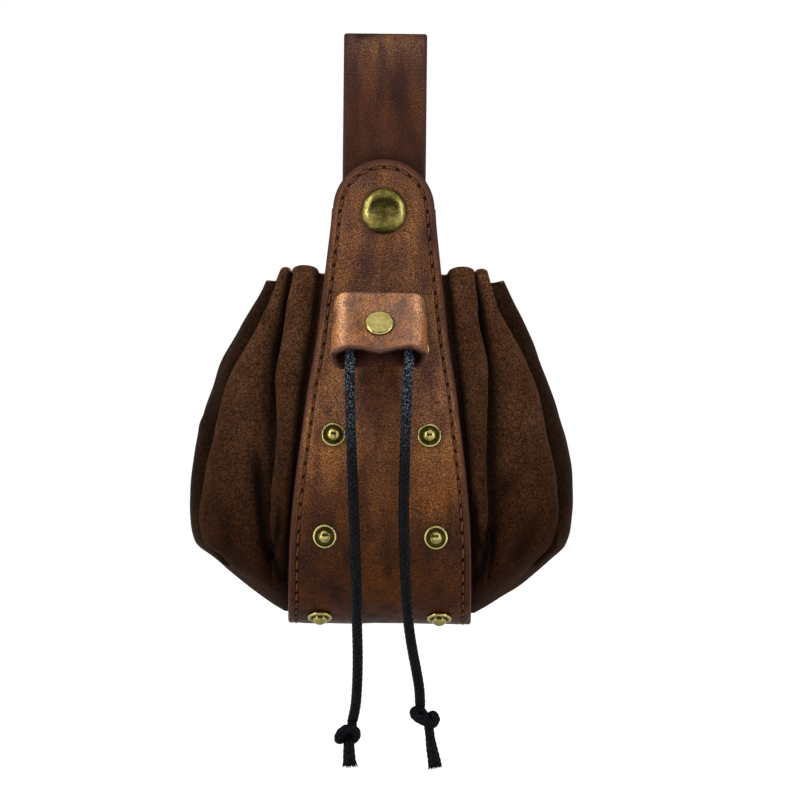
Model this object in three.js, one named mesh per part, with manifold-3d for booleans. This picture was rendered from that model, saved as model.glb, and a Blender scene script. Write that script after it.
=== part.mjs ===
// A medieval belt pouch: a pleated suede bag held by a stitched leather strap,
// with a belt loop that snaps shut and a drawstring with a leather slider.
// Millimetres, +Z up, the front faces -Y. The origin is the inner top of the belt loop,
// and a "drop" is a distance below it.

import * as THREE from "three";
import { mergeVertices } from "three/addons/utils/BufferGeometryUtils.js";
import Module from "manifold-3d";

const wasm = await Module();
wasm.setup();

// Clearances
const gap = 0.3; // between neighbouring pieces
const seat = 0.7; // between the strap and the suede under it
const backRoom = 0.9; // between the suede and the back plates of studs and eyelets

// Belt loop
const loopWidth = 27.5;
const loopLeather = 2.4;
const loopOpening = 9.6; // from its front run to its back run
const loopFrontDrop = 68;
const loopBackDrop = 69;

// Strap: a round-ended tongue, the front, the bottom and the back in one piece
const strapLeather = 3;
const strapBevel = 0.7;
const tongueDrop = 39;
const tongueHalf = 16.8;
const footHalf = 30.2; // half the width under the bag
const backEndDrop = 51;
const footDrop = 192.7; // the lowest line of the strap
const bottomDepth = 32.7; // height of the rounded bottom
const frontReach = 33.5; // outer face in front of the origin at the belly
const backReach = 25; // outer face behind the origin, flat for a hand's width

// Suede bag
const bagWall = 1.2;
const bagHalf = 63.4; // half the widest width
const rimDrop = 75.5;
const rimWave = 5.4; // from the highest crest of the rim to its lowest corner
const bagSquareness = 2; // of the sides seen from above, 2 is an ellipse, more is squarer
const strapFlat = 0.96; // share of the strap's width that presses the bag flat
const creaseDepth = 4.8;
const overlapDepth = 3.6;
const puffHeight = 2.2;

// Snap
const snapDrop = 56.4;
const snapCapRadius = 7.55;
const snapCapHeight = 2.7;
const snapBarrel = 3;
const snapPlate = 1; // thickness of the socket's flange
const snapPlateRadius = 5.6;
const snapPin = 1.55;
const snapStudPlate = 0.5;
const snapBackRadius = 4.2;
const snapBackPlate = 0.8;

// Studs on the front of the strap
const studRadius = 4;
const studHeight = 3.3;
const studPost = 1.3;
const studBackRadius = 3.2;
const studBackPlate = 0.9;
const topStudDrop = 130.2;
const topStudAcross = 15.8;
const middleStudTurn = 6.1; // degrees round the strap's bottom curve
const middleStudAcross = 18.3;
const bottomStudTurn = 66;
const bottomStudAcross = 19.7;

// Rivets that hold the loop to the strap's back end
const loopRivetDrop = 61;
const loopRivetAcross = 7;
const loopRivetRadius = 4.2;
const rivetPost = 1.4;
const rivetHead = 1.1;

// Cord, eyelets and slider
const cordDiameter = 3.2;
const eyeletDrop = 101.9;
const eyeletAcross = 11.7;
const eyeletRadius = 4;
const eyeletWall = 0.5;
const eyeletSlack = 0.5; // round the cord
const eyeletFlange = 0.8;
const sliderDrop = 92.2; // middle of its front face
const sliderAcross = -0.8;
const sliderWidth = 32.5;
const sliderLength = 24.4;
const sliderLeather = 2.2;
const sliderTilt = 38; // degrees, with its lower end towards the front
const sliderRivetRadius = 4.9;
const tunnelAcross = 9.7; // middle of each cord's tunnel, from the slider's middle
const tunnelHalf = 3.8;
const tunnelSlack = 1.4; // the tunnel's height over the cord's
const tunnelRoundness = 0.6; // of its outline, 1 is an ellipse, less is squarer
const drawstringDrop = 92; // height of the cord round the mouth

// Knots
const knotWidth = 8.4;
const knotHeight = 7.6;

// Resolution
const aroundSmall = 10; // sides of a turned brass piece
const aroundCap = 14;
const cordSides = 8;
const freeCordSteps = 17;

// Outer face of the strap's front: how far down between the tongue's top and the belly,
// and how far out between the tongue's place and the belly's
const frontProfile = [
  { down: 0, out: 0 },
  { down: 0.21, out: 0 },
  { down: 0.31, out: 0.09 },
  { down: 0.5, out: 0.42 },
  { down: 0.75, out: 0.835 },
  { down: 0.917, out: 0.977 },
  { down: 1, out: 1 },
];

// Outer face of the strap's back, between its end and the belly
const backProfile = [
  { down: 0, out: 0 },
  { down: 0.17, out: 0 },
  { down: 0.28, out: 0.24 },
  { down: 0.45, out: 0.74 },
  { down: 0.58, out: 0.97 },
  { down: 0.64, out: 1 },
  { down: 1, out: 1 },
];

// Half width of the strap, between the tongue's half width and the foot's
const strapWidths = [
  { down: 0, half: 0 },
  { down: 0.1, half: 0.02 },
  { down: 0.22, half: 0.15 },
  { down: 0.303, half: 0.261 },
  { down: 0.389, half: 0.373 },
  { down: 0.518, half: 0.612 },
  { down: 0.846, half: 0.978 },
  { down: 1, half: 1 },
];

// Sections of the bag from the rim down to the bottom. half is a share of its widest half
// width. crease is a share of the way from the strap's edge to the side, and ridge a share
// of the way from that crease to the side. puff, pleat and overlap are shares of the depths.
const bagSections = [
  { down: 0, half: 0.615, crease: 0.52, ridge: 0.48, puff: 0.7, pleat: 0.8, overlap: 0.8 },
  { down: 0.04, half: 0.648, crease: 0.49, ridge: 0.46, puff: 0.75, pleat: 0.92, overlap: 0.9 },
  { down: 0.09, half: 0.691, crease: 0.46, ridge: 0.46, puff: 0.8, pleat: 1, overlap: 1 },
  { down: 0.15, half: 0.745, crease: 0.41, ridge: 0.54, puff: 0.9, pleat: 1, overlap: 1 },
  { down: 0.265, half: 0.836, crease: 0.367, ridge: 0.66, puff: 1, pleat: 0.8, overlap: 1 },
  { down: 0.371, half: 0.904, crease: 0.29, ridge: 0.73, puff: 1, pleat: 0.62, overlap: 1 },
  { down: 0.477, half: 0.957, crease: 0.235, ridge: 0.742, puff: 1, pleat: 0.5, overlap: 0.9 },
  { down: 0.583, half: 0.991, crease: 0.19, ridge: 0.79, puff: 1, pleat: 0.46, overlap: 0.75 },
  { down: 0.68, half: 1, crease: 0.165, ridge: 0.838, puff: 0.9, pleat: 0.45, overlap: 0.5 },
  { down: 0.745, half: 0.991, crease: 0.17, ridge: 0.86, puff: 0.7, pleat: 0.42, overlap: 0.3 },
  { down: 0.797, half: 0.962, crease: 0.19, ridge: 0.86, puff: 0.5, pleat: 0.32, overlap: 0.15 },
  { down: 0.84, half: 0.875, crease: 0.227, ridge: 0.86, puff: 0.3, pleat: 0.15, overlap: 0.05 },
  { down: 0.885, half: 0.782, crease: 0.26, ridge: 0.86, puff: 0.15, pleat: 0.05, overlap: 0 },
  { down: 0.937, half: 0.666, crease: 0.35, ridge: 0.84, puff: 0, pleat: 0, overlap: 0 },
  { down: 0.974, half: 0.572, crease: 0.4, ridge: 0.8, puff: 0, pleat: 0, overlap: 0 },
  { down: 0.992, half: 0.52, crease: 0.45, ridge: 0.75, puff: 0, pleat: 0, overlap: 0 },
];

// Lines that run down each quarter of the bag, from its middle to its side. Each lies a share
// of the way between two of: middle, strap edge, crease, ridge and side. puff raises it,
// pleat and overlap sink it, and rim lowers its top. weave is where the drawstring passes:
// inside the wall at 1 and outside it at -1.
const bagLines = [
  { from: "middle", to: "strap", share: 0, puff: 0, pleat: 0, overlap: 0, rim: 0.3, weave: 1 },
  { from: "middle", to: "strap", share: 0.5, puff: 0, pleat: 0, overlap: 0, rim: 0.3, weave: 1 },
  { from: "middle", to: "strap", share: strapFlat, puff: 0, pleat: 0, overlap: 0, rim: 0.25, weave: 1 },
  { from: "strap", to: "crease", share: 0.36, puff: 0.7, pleat: 0, overlap: 0, rim: 0, weave: 1 },
  { from: "strap", to: "crease", share: 0.72, puff: 0.7, pleat: 0.15, overlap: 0, rim: 0, weave: 1 },
  { from: "strap", to: "crease", share: 1, puff: 0, pleat: 1, overlap: 0, rim: 0.3, weave: -1 },
  { from: "crease", to: "ridge", share: 0.25, puff: 0.5, pleat: 0.15, overlap: 0, rim: 0.1, weave: 1 },
  { from: "crease", to: "ridge", share: 0.55, puff: 1, pleat: 0, overlap: 0, rim: 0.05, weave: 1 },
  { from: "crease", to: "ridge", share: 0.84, puff: 0.9, pleat: 0, overlap: 0, rim: 0.2, weave: 1 },
  { from: "ridge", to: "side", share: 0.1, puff: 0, pleat: 0, overlap: 1, rim: 0.95, weave: -1 },
  { from: "ridge", to: "side", share: 0.45, puff: 0, pleat: 0, overlap: 0.35, rim: 1, weave: 1 },
  { from: "ridge", to: "side", share: 0.75, puff: 0.15, pleat: 0, overlap: 0, rim: 0.9, weave: 1 },
  { from: "ridge", to: "side", share: 1, puff: 0, pleat: 0, overlap: 0, rim: 0.8, weave: 1 },
];

// The drawstring's way into an eyelet, in cord diameters out from the strap's face and up
const eyeletApproach = [
  { out: 1.55, up: 0.15 },
  { out: 1.2, up: -0.1 },
  { out: 0.6, up: 0 },
  { out: 0, up: 0 },
];

// Its way out of the eyelet's back, in cord diameters in from the back flange, up and sideways
const eyeletLeave = [
  { in: 0, up: 0, aside: 0 },
  { in: 0.3, up: 0, aside: 0 },
  { in: 0.9, up: 0.6, aside: 0.6 },
];

// Where it lies along the slider's back, as shares of half the slider's length
const sliderBackStops = [0.45, 0.12];

// Fronts of the turned brass pieces, as shares of their radius and height
const capFront = [
  { radius: 1, height: 0.3 },
  { radius: 0.98, height: 0.55 },
  { radius: 0.9, height: 0.83 },
  { radius: 0.72, height: 0.96 },
  { radius: 0, height: 1 },
];
const studFront = [
  { radius: 0.93, height: 0.4 },
  { radius: 0.72, height: 0.4 },
  { radius: 0.56, height: 0.28 },
  { radius: 0.52, height: 0.62 },
  { radius: 0.34, height: 0.9 },
  { radius: 0, height: 1 },
];
const rivetFront = [
  { radius: 1, height: 0.5 },
  { radius: 0.88, height: 1 },
  { radius: 0, height: 1 },
];
const rivetBack = 0.8; // radius and thickness of a rivet's back plate, as a share of its head's

// Routes of the two free cord ends, from the slider's lower mouth to their knots
const leftRoute = [
  [-10.5, -40.3, -104.8],
  [-10.55, -41.5, -106.6],
  [-10.6, -42.4, -108.8],
  [-10.55, -42.9, -111.5],
  [-10.35, -43.1, -118.6],
  [-9.95, -43.1, -130.2],
  [-9.55, -43.0, -139],
  [-9.15, -42.9, -147],
  [-8.75, -42.8, -156],
  [-8.35, -42.8, -164.5],
  [-7.75, -42.7, -178],
  [-7.35, -42.6, -192],
  [-7.0, -42.5, -203],
  [-7.1, -42.4, -212],
  [-7.55, -42.4, -219],
  [-8.5, -42.3, -224],
];
const leftTail = [
  [-9.9, -42.3, -228.3],
  [-9.6, -42.4, -233],
  [-9.3, -42.5, -240],
];
const rightRoute = [
  [8.9, -40.3, -104.8],
  [8.75, -41.5, -106.6],
  [8.6, -42.4, -108.8],
  [8.45, -42.9, -111.5],
  [8.2, -43.1, -118.6],
  [7.9, -43.1, -130.2],
  [7.7, -43.0, -141.7],
  [7.6, -42.9, -154],
  [7.85, -42.8, -164.5],
  [8.55, -42.7, -180],
  [9.6, -42.6, -192],
  [11.0, -42.5, -200.8],
  [12.2, -42.5, -206.7],
  [13.3, -42.4, -213],
  [13.7, -42.3, -218.5],
];
const rightTail = [
  [15.2, -42.3, -222.9],
  [16.7, -42.4, -228],
  [19.0, -42.5, -239.6],
];

// Sizes that follow from the ones above
const snapRoom = 2 * gap + snapPlate + snapStudPlate + gap;
const tongueReach = loopOpening / 2 + loopLeather + snapRoom + strapLeather;
const backEndReach = loopOpening / 2 + loopLeather + gap + strapLeather;
const cordRadius = cordDiameter / 2;
const bellyDrop = footDrop - bottomDepth; // where the front and the back turn into the bottom
const bagInset = strapLeather + seat; // from the strap's outer face to the bag's
const bagFootDrop = footDrop - bagInset;
const throughBag = bagInset + bagWall + backRoom; // from the strap's outer face into the bag
const tunnelHeight = cordDiameter + tunnelSlack;
const sliderThick = tunnelHeight + 2 * sliderLeather;

// Number helpers
const mix = (a, b, share) => a + (b - a) * share;
const radians = (degrees) => (degrees * Math.PI) / 180;
const easeStep = (x) => {
  const t = Math.min(Math.max(x, 0), 1);
  return t * t * (3 - 2 * t);
};

// A smooth curve through a table's rows that never swings past them
function curveOf(rows, column) {
  const slopes = rows.slice(1).map((row, i) => {
    return (row[column] - rows[i][column]) / (row.down - rows[i].down);
  });
  const tangents = rows.map((row, i) => {
    const before = slopes[Math.max(i - 1, 0)];
    const after = slopes[Math.min(i, slopes.length - 1)];
    return before * after <= 0 ? 0 : (2 * before * after) / (before + after);
  });
  return (down) => {
    const x = Math.min(Math.max(down, 0), 1);
    const next = Math.max(1, rows.findIndex((row) => row.down >= x));
    const [a, b] = [rows[next - 1], rows[next]];
    const span = b.down - a.down;
    const t = (x - a.down) / span;
    const rise = 3 * t * t - 2 * t * t * t;
    const start = (t * t * t - 2 * t * t + t) * span * tangents[next - 1];
    const end = (t * t * t - t * t) * span * tangents[next];
    return mix(a[column], b[column], rise) + start + end;
  };
}

const frontOut = curveOf(frontProfile, "out");
const backOut = curveOf(backProfile, "out");
const widthShare = curveOf(strapWidths, "half");

// How far the strap's outer face stands in front of the origin at a drop above the belly
function frontFace(drop) {
  const down = (drop - tongueDrop) / (bellyDrop - tongueDrop);
  return mix(tongueReach, frontReach, frontOut(down));
}

// The same behind the origin
function backFace(drop) {
  const down = (drop - backEndDrop) / (bellyDrop - backEndDrop);
  return mix(backEndReach, backReach, backOut(down));
}

function strapHalf(drop) {
  const down = (drop - tongueDrop) / (footDrop - tongueDrop);
  return mix(tongueHalf, footHalf, widthShare(down));
}

// A strap's round end: the half width at a distance from its tip
function roundEnd(fromTip, half) {
  const short = Math.max(half - fromTip, 0);
  return Math.sqrt(half * half - short * short);
}

// Joins rings of points into one closed skin, with a fan over each end
function loft(rings, firstMiddle, lastMiddle) {
  const count = rings[0].length;
  const points = rings.flat().concat([firstMiddle, lastMiddle]);
  const triangles = [];
  for (let r = 0; r + 1 < rings.length; r++) {
    for (let i = 0; i < count; i++) {
      const [a, b] = [r * count + i, r * count + ((i + 1) % count)];
      triangles.push(a, b, b + count, a, b + count, a + count);
    }
  }
  const last = (rings.length - 1) * count;
  for (let i = 0; i < count; i++) {
    const next = (i + 1) % count;
    triangles.push(rings.length * count, next, i);
    triangles.push(rings.length * count + 1, last + i, last + next);
  }
  const geometry = new THREE.BufferGeometry().setFromPoints(points);
  geometry.setIndex(triangles);
  return geometry;
}

const average = (points) => {
  const sum = points.reduce((total, p) => total.add(p), new THREE.Vector3());
  return sum.divideScalar(points.length);
};

// A strip of leather that follows its outer face: each stop of the path has a place and an
// outward direction in the YZ plane and a half width
function strip(path, leather, bevel) {
  const rings = path.map((stop) => {
    const b = Math.min(bevel, stop.half / 2);
    const corners = [
      [-stop.half + b, 0],
      [-stop.half, b],
      [-stop.half, leather - b],
      [-stop.half + b, leather],
      [stop.half - b, leather],
      [stop.half, leather - b],
      [stop.half, b],
      [stop.half - b, 0],
    ];
    return corners.map(([x, depth]) => {
      const y = stop.y - stop.ny * depth;
      return new THREE.Vector3(x, y, stop.z - stop.nz * depth);
    });
  });
  return loft(rings, average(rings[0]), average(rings[rings.length - 1]));
}

// Gives each stop of a path its outward direction, from its neighbours
function withNormals(path) {
  return path.map((stop, i) => {
    const before = path[Math.max(i - 1, 0)];
    const after = path[Math.min(i + 1, path.length - 1)];
    const [dy, dz] = [after.y - before.y, after.z - before.z];
    const long = Math.hypot(dy, dz);
    return { ...stop, ny: dz / long, nz: -dy / long };
  });
}

// Solid work with the boolean library
function solidOf(geometry) {
  const bare = geometry.index ? geometry.toNonIndexed() : geometry.clone();
  bare.deleteAttribute("normal");
  bare.deleteAttribute("uv");
  const merged = mergeVertices(bare, 1e-3);
  return new wasm.Manifold(
    new wasm.Mesh({
      numProp: 3,
      vertProperties: merged.attributes.position.array,
      triVerts: new Uint32Array(merged.index.array),
    }),
  );
}

function geometryOf(solid) {
  const mesh = solid.getMesh();
  const geometry = new THREE.BufferGeometry();
  geometry.setAttribute("position", new THREE.BufferAttribute(mesh.vertProperties, 3));
  geometry.setIndex(new THREE.BufferAttribute(mesh.triVerts, 1));
  return geometry;
}

function cutFrom(geometry, cutters) {
  let solid = solidOf(geometry);
  for (const cutter of cutters) {
    solid = solid.subtract(solidOf(cutter));
  }
  return geometryOf(solid);
}

// Moves geometry made round its own Y axis onto a place, with that axis along a direction
function aim(geometry, place, direction) {
  const up = new THREE.Vector3(0, 1, 0);
  const turn = new THREE.Quaternion().setFromUnitVectors(up, direction);
  geometry.applyQuaternion(turn);
  geometry.translate(place.x, place.y, place.z);
  return geometry;
}

// A turned piece from its profile, [radius, height] pairs from its lowest to its highest
function turned(profile, sides) {
  const points = profile.map(([radius, height]) => new THREE.Vector2(radius, height));
  return new THREE.LatheGeometry(points, sides);
}

// A plain bore, for cutting holes
function bore(radius, place, direction, from, to) {
  const geometry = new THREE.CylinderGeometry(radius, radius, to - from, aroundSmall);
  geometry.translate(0, (from + to) / 2, 0);
  return aim(geometry, place, direction);
}

// A tube along a curve
function tube(curve, radius, steps, sides = cordSides) {
  const section = new THREE.Shape();
  for (let i = 0; i < sides; i++) {
    const turn = (2 * Math.PI * i) / sides;
    const [x, y] = [radius * Math.cos(turn), radius * Math.sin(turn)];
    if (i === 0) {
      section.moveTo(x, y);
    } else {
      section.lineTo(x, y);
    }
  }
  return new THREE.ExtrudeGeometry(section, { steps, extrudePath: curve });
}

const curveThrough = (points) => {
  const places = points.map((p) => (p.isVector3 ? p : new THREE.Vector3(...p)));
  return new THREE.CatmullRomCurve3(places, false, "centripetal");
};

// Places on the strap's outer face
function onFront(across, drop) {
  const small = 0.5;
  const slope = (frontFace(drop + small) - frontFace(drop - small)) / (2 * small);
  const direction = new THREE.Vector3(0, -1, slope).normalize();
  return { place: new THREE.Vector3(across, -frontFace(drop), -drop), direction };
}

function onBottom(across, degrees) {
  const turn = radians(degrees);
  const [y, z] = [frontReach * Math.cos(turn), bottomDepth * Math.sin(turn)];
  const direction = new THREE.Vector3(0, -Math.cos(turn) / frontReach, -Math.sin(turn) / bottomDepth);
  direction.normalize();
  return { place: new THREE.Vector3(across, -y, -bellyDrop - z), direction };
}

// The strap's path: down the front, round the bottom and up the back
function strapPath() {
  const path = [];
  const frontSteps = 14;
  const tipTurns = [8, 22, 36, 50, 64, 78, 90];
  const frontStop = (drop, half) => ({ y: -frontFace(drop), z: -drop, half });
  for (const turn of tipTurns) {
    const fromTip = tongueHalf * (1 - Math.cos(radians(turn)));
    path.push(frontStop(tongueDrop + fromTip, roundEnd(fromTip, tongueHalf)));
  }
  const straight = tongueDrop + tongueHalf;
  for (let i = 1; i <= frontSteps; i++) {
    const drop = mix(straight, bellyDrop, i / frontSteps);
    path.push(frontStop(drop, strapHalf(drop)));
  }
  const bottomSteps = 12;
  for (let i = 1; i < 2 * bottomSteps; i++) {
    const turn = (Math.PI / 2) * (i / bottomSteps);
    const reach = i < bottomSteps ? frontReach : backReach;
    const z = -bellyDrop - bottomDepth * Math.sin(turn);
    path.push({ y: -reach * Math.cos(turn), z, half: strapHalf(-z) });
  }
  const backStop = (drop, half) => ({ y: backFace(drop), z: -drop, half });
  const backStraight = backEndDrop + tongueHalf;
  for (let i = 0; i < frontSteps; i++) {
    const drop = mix(bellyDrop, backStraight, i / frontSteps);
    path.push(backStop(drop, strapHalf(drop)));
  }
  for (const turn of tipTurns.slice().reverse()) {
    const fromTip = tongueHalf * (1 - Math.cos(radians(turn)));
    path.push(backStop(backEndDrop + fromTip, roundEnd(fromTip, tongueHalf)));
  }
  return withNormals(path);
}

// The belt loop's path, from its back run over the top to the end of its front run
function loopPath() {
  const path = [];
  const outer = loopOpening / 2 + loopLeather;
  const bendDrop = loopOpening / 2;
  const half = loopWidth / 2;
  const runStops = 4;
  const bendStops = 10;
  for (let i = 0; i < runStops; i++) {
    const drop = mix(loopFrontDrop, bendDrop, i / runStops);
    path.push({ y: -outer, z: -drop, half });
  }
  for (let i = 0; i <= bendStops; i++) {
    const turn = (Math.PI * i) / bendStops;
    path.push({ y: -outer * Math.cos(turn), z: outer * Math.sin(turn) - bendDrop, half });
  }
  for (let i = 1; i <= runStops; i++) {
    const drop = mix(bendDrop, loopBackDrop, i / runStops);
    path.push({ y: outer, z: -drop, half });
  }
  return withNormals(path.reverse());
}

const sectionCurves = Object.fromEntries(
  ["half", "crease", "ridge", "puff", "pleat", "overlap"].map((column) => {
    return [column, curveOf(bagSections, column)];
  }),
);

// The depth that the strap leaves for the bag in front of the origin or behind it
function bagDepth(face, drop) {
  const reach = face < 0 ? frontReach : backReach;
  if (drop > bellyDrop) {
    const share = Math.min((drop - bellyDrop) / (bottomDepth - bagInset), 1);
    return (reach - bagInset) * Math.sqrt(1 - share * share);
  }
  return (face < 0 ? frontFace(drop) : backFace(drop)) - bagInset;
}

// The bag's outer face, its outward direction and its drop on one line and section
function bagPlace(line, side, face, down) {
  const high = rimWave * line.rim * (1 - down) ** 3;
  const drop = mix(rimDrop, bagFootDrop, down) + high;
  const at = Object.fromEntries(
    Object.entries(sectionCurves).map(([column, curve]) => [column, curve(down)]),
  );
  const half = bagHalf * at.half;
  const strap = strapHalf(drop);
  const crease = mix(strap, half, at.crease);
  const stops = { middle: 0, strap, crease, ridge: mix(crease, half, at.ridge), side: half };
  const x = mix(stops[line.from], stops[line.to], line.share);
  const flat = strapFlat * strap;
  const across = Math.min(Math.max(x - flat, 0) / (half - flat), 1);
  const along = Math.max(1 - across ** bagSquareness, 0) ** (1 / bagSquareness);
  const depth = bagDepth(face, drop);
  const nx = across ** (bagSquareness - 1) / (half - flat);
  const ny = along ** (bagSquareness - 1) / depth;
  const long = Math.hypot(nx, ny);
  const out = new THREE.Vector3((side * nx) / long, (face * ny) / long, 0);
  const lift =
    puffHeight * at.puff * line.puff -
    creaseDepth * at.pleat * line.pleat -
    overlapDepth * at.overlap * line.overlap;
  const place = new THREE.Vector3(side * x, face * depth * along, -drop);
  return { place: place.addScaledVector(out, lift), out };
}

// The lines once round the bag, from the front middle by the right side, the back and the left
function bagRound() {
  const quarter = (side, face) => bagLines.map((line) => ({ line, side, face }));
  const last = bagLines.length - 1;
  return [
    ...quarter(1, -1).slice(0, last),
    ...quarter(1, 1).reverse().slice(0, last),
    ...quarter(-1, 1).slice(0, last),
    ...quarter(-1, -1).reverse().slice(0, last),
  ];
}

function bagGeometry() {
  const around = bagRound();
  const outer = bagSections.map((section) => {
    return around.map(({ line, side, face }) => bagPlace(line, side, face, section.down).place);
  });
  const inner = outer.map((ring, r) => {
    return ring.map((place, i) => {
      const next = ring[(i + 1) % ring.length];
      const before = ring[(i + ring.length - 1) % ring.length];
      const below = outer[Math.min(r + 1, outer.length - 1)][i];
      const above = outer[Math.max(r - 1, 0)][i];
      const round = next.clone().sub(before);
      const up = above.clone().sub(below);
      const inward = up.cross(round).normalize();
      return place.clone().addScaledVector(inward, bagWall);
    });
  });
  const bottom = new THREE.Vector3(0, 0, -bagFootDrop);
  const floor = new THREE.Vector3(0, 0, bagWall - bagFootDrop);
  return loft([...outer.slice().reverse(), ...inner], bottom, floor);
}

// The slider's own directions: along it upwards, and out of its front face
const tilt = radians(sliderTilt);
const sliderUp = new THREE.Vector3(0, Math.sin(tilt), Math.cos(tilt));
const sliderOut = new THREE.Vector3(0, -Math.cos(tilt), Math.sin(tilt));

// The slider's middle: its upper back edge leaves a cord's room before the strap
function sliderMiddle() {
  const z = -sliderDrop - (sliderOut.z * sliderThick) / 2;
  const edge = sliderUp.clone().multiplyScalar(sliderLength / 2);
  edge.addScaledVector(sliderOut, -sliderThick / 2);
  const room = cordDiameter + 3 * gap;
  const y = -frontFace(-(z + edge.z)) - room - edge.y;
  return new THREE.Vector3(sliderAcross, y, z);
}

const sliderCentre = sliderMiddle();

// A place in the slider: across, along and out from its middle
function inSlider(across, along, out) {
  const place = sliderCentre.clone();
  place.x += across;
  return place.addScaledVector(sliderUp, along).addScaledVector(sliderOut, out);
}

function sliderGeometry() {
  const full = sliderThick / 2;
  const pinched = sliderLeather + gap / 2;
  const halfWidth = sliderWidth / 2;
  const bend = halfWidth - full;
  const pinchStart = sliderRivetRadius - gap;
  const pinchEnd = Math.max(tunnelAcross, pinchStart + gap);
  const outerHeight = (x) => {
    const far = Math.abs(x);
    if (far > bend) {
      return Math.sqrt(Math.max(full * full - (far - bend) ** 2, 0));
    }
    return mix(pinched, full, easeStep((far - pinchStart) / (pinchEnd - pinchStart)));
  };
  const outline = [];
  const endStops = 5;
  const middleStops = 12;
  for (let i = 0; i <= endStops; i++) {
    const turn = (Math.PI / 2) * (i / endStops);
    outline.push([-bend - full * Math.cos(turn), full * Math.sin(turn)]);
  }
  for (let i = 1; i < middleStops; i++) {
    const x = mix(-bend, bend, i / middleStops);
    outline.push([x, outerHeight(x)]);
  }
  const top = [...outline, ...outline.slice(0, endStops + 1).reverse().map(([x, y]) => [-x, y])];
  const whole = [...top, ...top.slice(1, -1).reverse().map(([x, y]) => [x, -y])];
  const shape = new THREE.Shape(whole.map(([x, y]) => new THREE.Vector2(x, y)));
  for (const side of [-1, 1]) {
    const tunnel = [];
    const roundStops = 14;
    for (let i = 0; i < roundStops; i++) {
      const turn = (2 * Math.PI * i) / roundStops;
      const [c, s] = [Math.cos(turn), Math.sin(turn)];
      const x = tunnelHalf * Math.sign(c) * Math.abs(c) ** tunnelRoundness;
      const y = (tunnelHeight / 2) * Math.sign(s) * Math.abs(s) ** tunnelRoundness;
      tunnel.push(new THREE.Vector2(side * tunnelAcross + x, y));
    }
    shape.holes.push(new THREE.Path(tunnel));
  }
  const body = new THREE.ExtrudeGeometry(shape, { depth: sliderLength, bevelEnabled: false });
  body.translate(0, 0, -sliderLength / 2);
  const across = new THREE.Vector3(1, 0, 0);
  const frame = new THREE.Matrix4().makeBasis(across, sliderOut.clone().negate(), sliderUp);
  body.applyMatrix4(frame);
  body.translate(sliderCentre.x, sliderCentre.y, sliderCentre.z);
  const hole = bore(rivetPost + gap, sliderCentre, sliderOut, -sliderThick, sliderThick);
  return cutFrom(body, [hole]);
}

// The held stretch of cord: up through the slider, over its back layer, into the eyelet,
// round the mouth through the pleats, and the same way out on the other side
function drawstringCurve() {
  const half = (side) => {
    const across = side * tunnelAcross;
    const bend = (tunnelHeight + sliderLeather) / 2;
    const points = [inSlider(across, -sliderLength / 2 + gap, 0), inSlider(across, 0, 0)];
    const topAlong = sliderLength / 2;
    for (const degrees of [0, 60, 120, 180]) {
      const turn = radians(degrees);
      const along = topAlong + bend * Math.sin(turn);
      points.push(inSlider(across, along, bend * (Math.cos(turn) - 1)));
    }
    const { place, direction } = onFront(side * eyeletAcross, eyeletDrop);
    const off = (out, rise) => {
      const stop = place.clone().addScaledVector(direction, out);
      return stop.add(new THREE.Vector3(0, 0, rise));
    };
    const backFlange = -throughBag - eyeletFlange;
    for (const share of sliderBackStops) {
      points.push(inSlider(across, topAlong * share, -2 * bend));
    }
    for (const stop of eyeletApproach) {
      points.push(off(stop.out * cordDiameter, stop.up * cordDiameter));
    }
    points.push(off(backFlange / 2, 0));
    for (const stop of eyeletLeave) {
      const leaving = off(backFlange - stop.in * cordDiameter, stop.up * cordDiameter);
      leaving.x += side * stop.aside * cordDiameter;
      points.push(leaving);
    }
    return points;
  };
  const down = (drawstringDrop - rimDrop) / (bagFootDrop - rimDrop);
  const woven = bagRound().filter(({ line, face }) => !(face < 0 && line.from === "middle"));
  const ring = woven.map(({ line, side, face }) => {
    const { place, out } = bagPlace(line, side, face, down);
    const inside = -(bagWall + gap + cordRadius);
    const outside = cordRadius + gap / 2;
    return place.addScaledVector(out, line.weave > 0 ? inside : outside);
  });
  return curveThrough([...half(1), ...ring, ...half(-1).reverse()]);
}

// A table of shares as a profile, from its height above the leather's clearance
function profileFrom(rows, radius, height, start = 0) {
  return rows.map((row) => [row.radius * radius, start + row.height * height]);
}

// Brass pieces
function snapCapProfile() {
  const back = -strapLeather - gap;
  const mouth = back - snapPlate;
  return [
    [0, mouth + snapBarrel],
    [snapPin + gap, mouth + snapBarrel],
    [snapPin + gap, mouth],
    [snapPlateRadius, mouth],
    [snapPlateRadius, back],
    [snapBarrel, back],
    [snapBarrel, gap],
    [snapCapRadius - gap, gap],
    ...profileFrom(capFront, snapCapRadius, snapCapHeight),
  ];
}

function snapStudProfile() {
  const plateBack = -strapLeather - snapPlate - 2 * gap - snapStudPlate;
  const leatherBack = plateBack - gap - loopLeather;
  const tip = -strapLeather - gap - snapPlate + snapBarrel - gap;
  const tipRadius = 0.6 * snapPin;
  return [
    [0, leatherBack - gap - snapBackPlate],
    [snapBackRadius - snapBackPlate, leatherBack - gap - snapBackPlate],
    [snapBackRadius, leatherBack - gap - snapBackPlate / 2],
    [snapBackRadius, leatherBack - gap],
    [snapPin, leatherBack - gap],
    [snapPin, plateBack],
    [snapBackRadius, plateBack],
    [snapBackRadius, plateBack + snapStudPlate],
    [snapPin, plateBack + snapStudPlate],
    [snapPin, tip - snapStudPlate],
    [tipRadius, tip],
    [0, tip],
  ];
}

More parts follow.
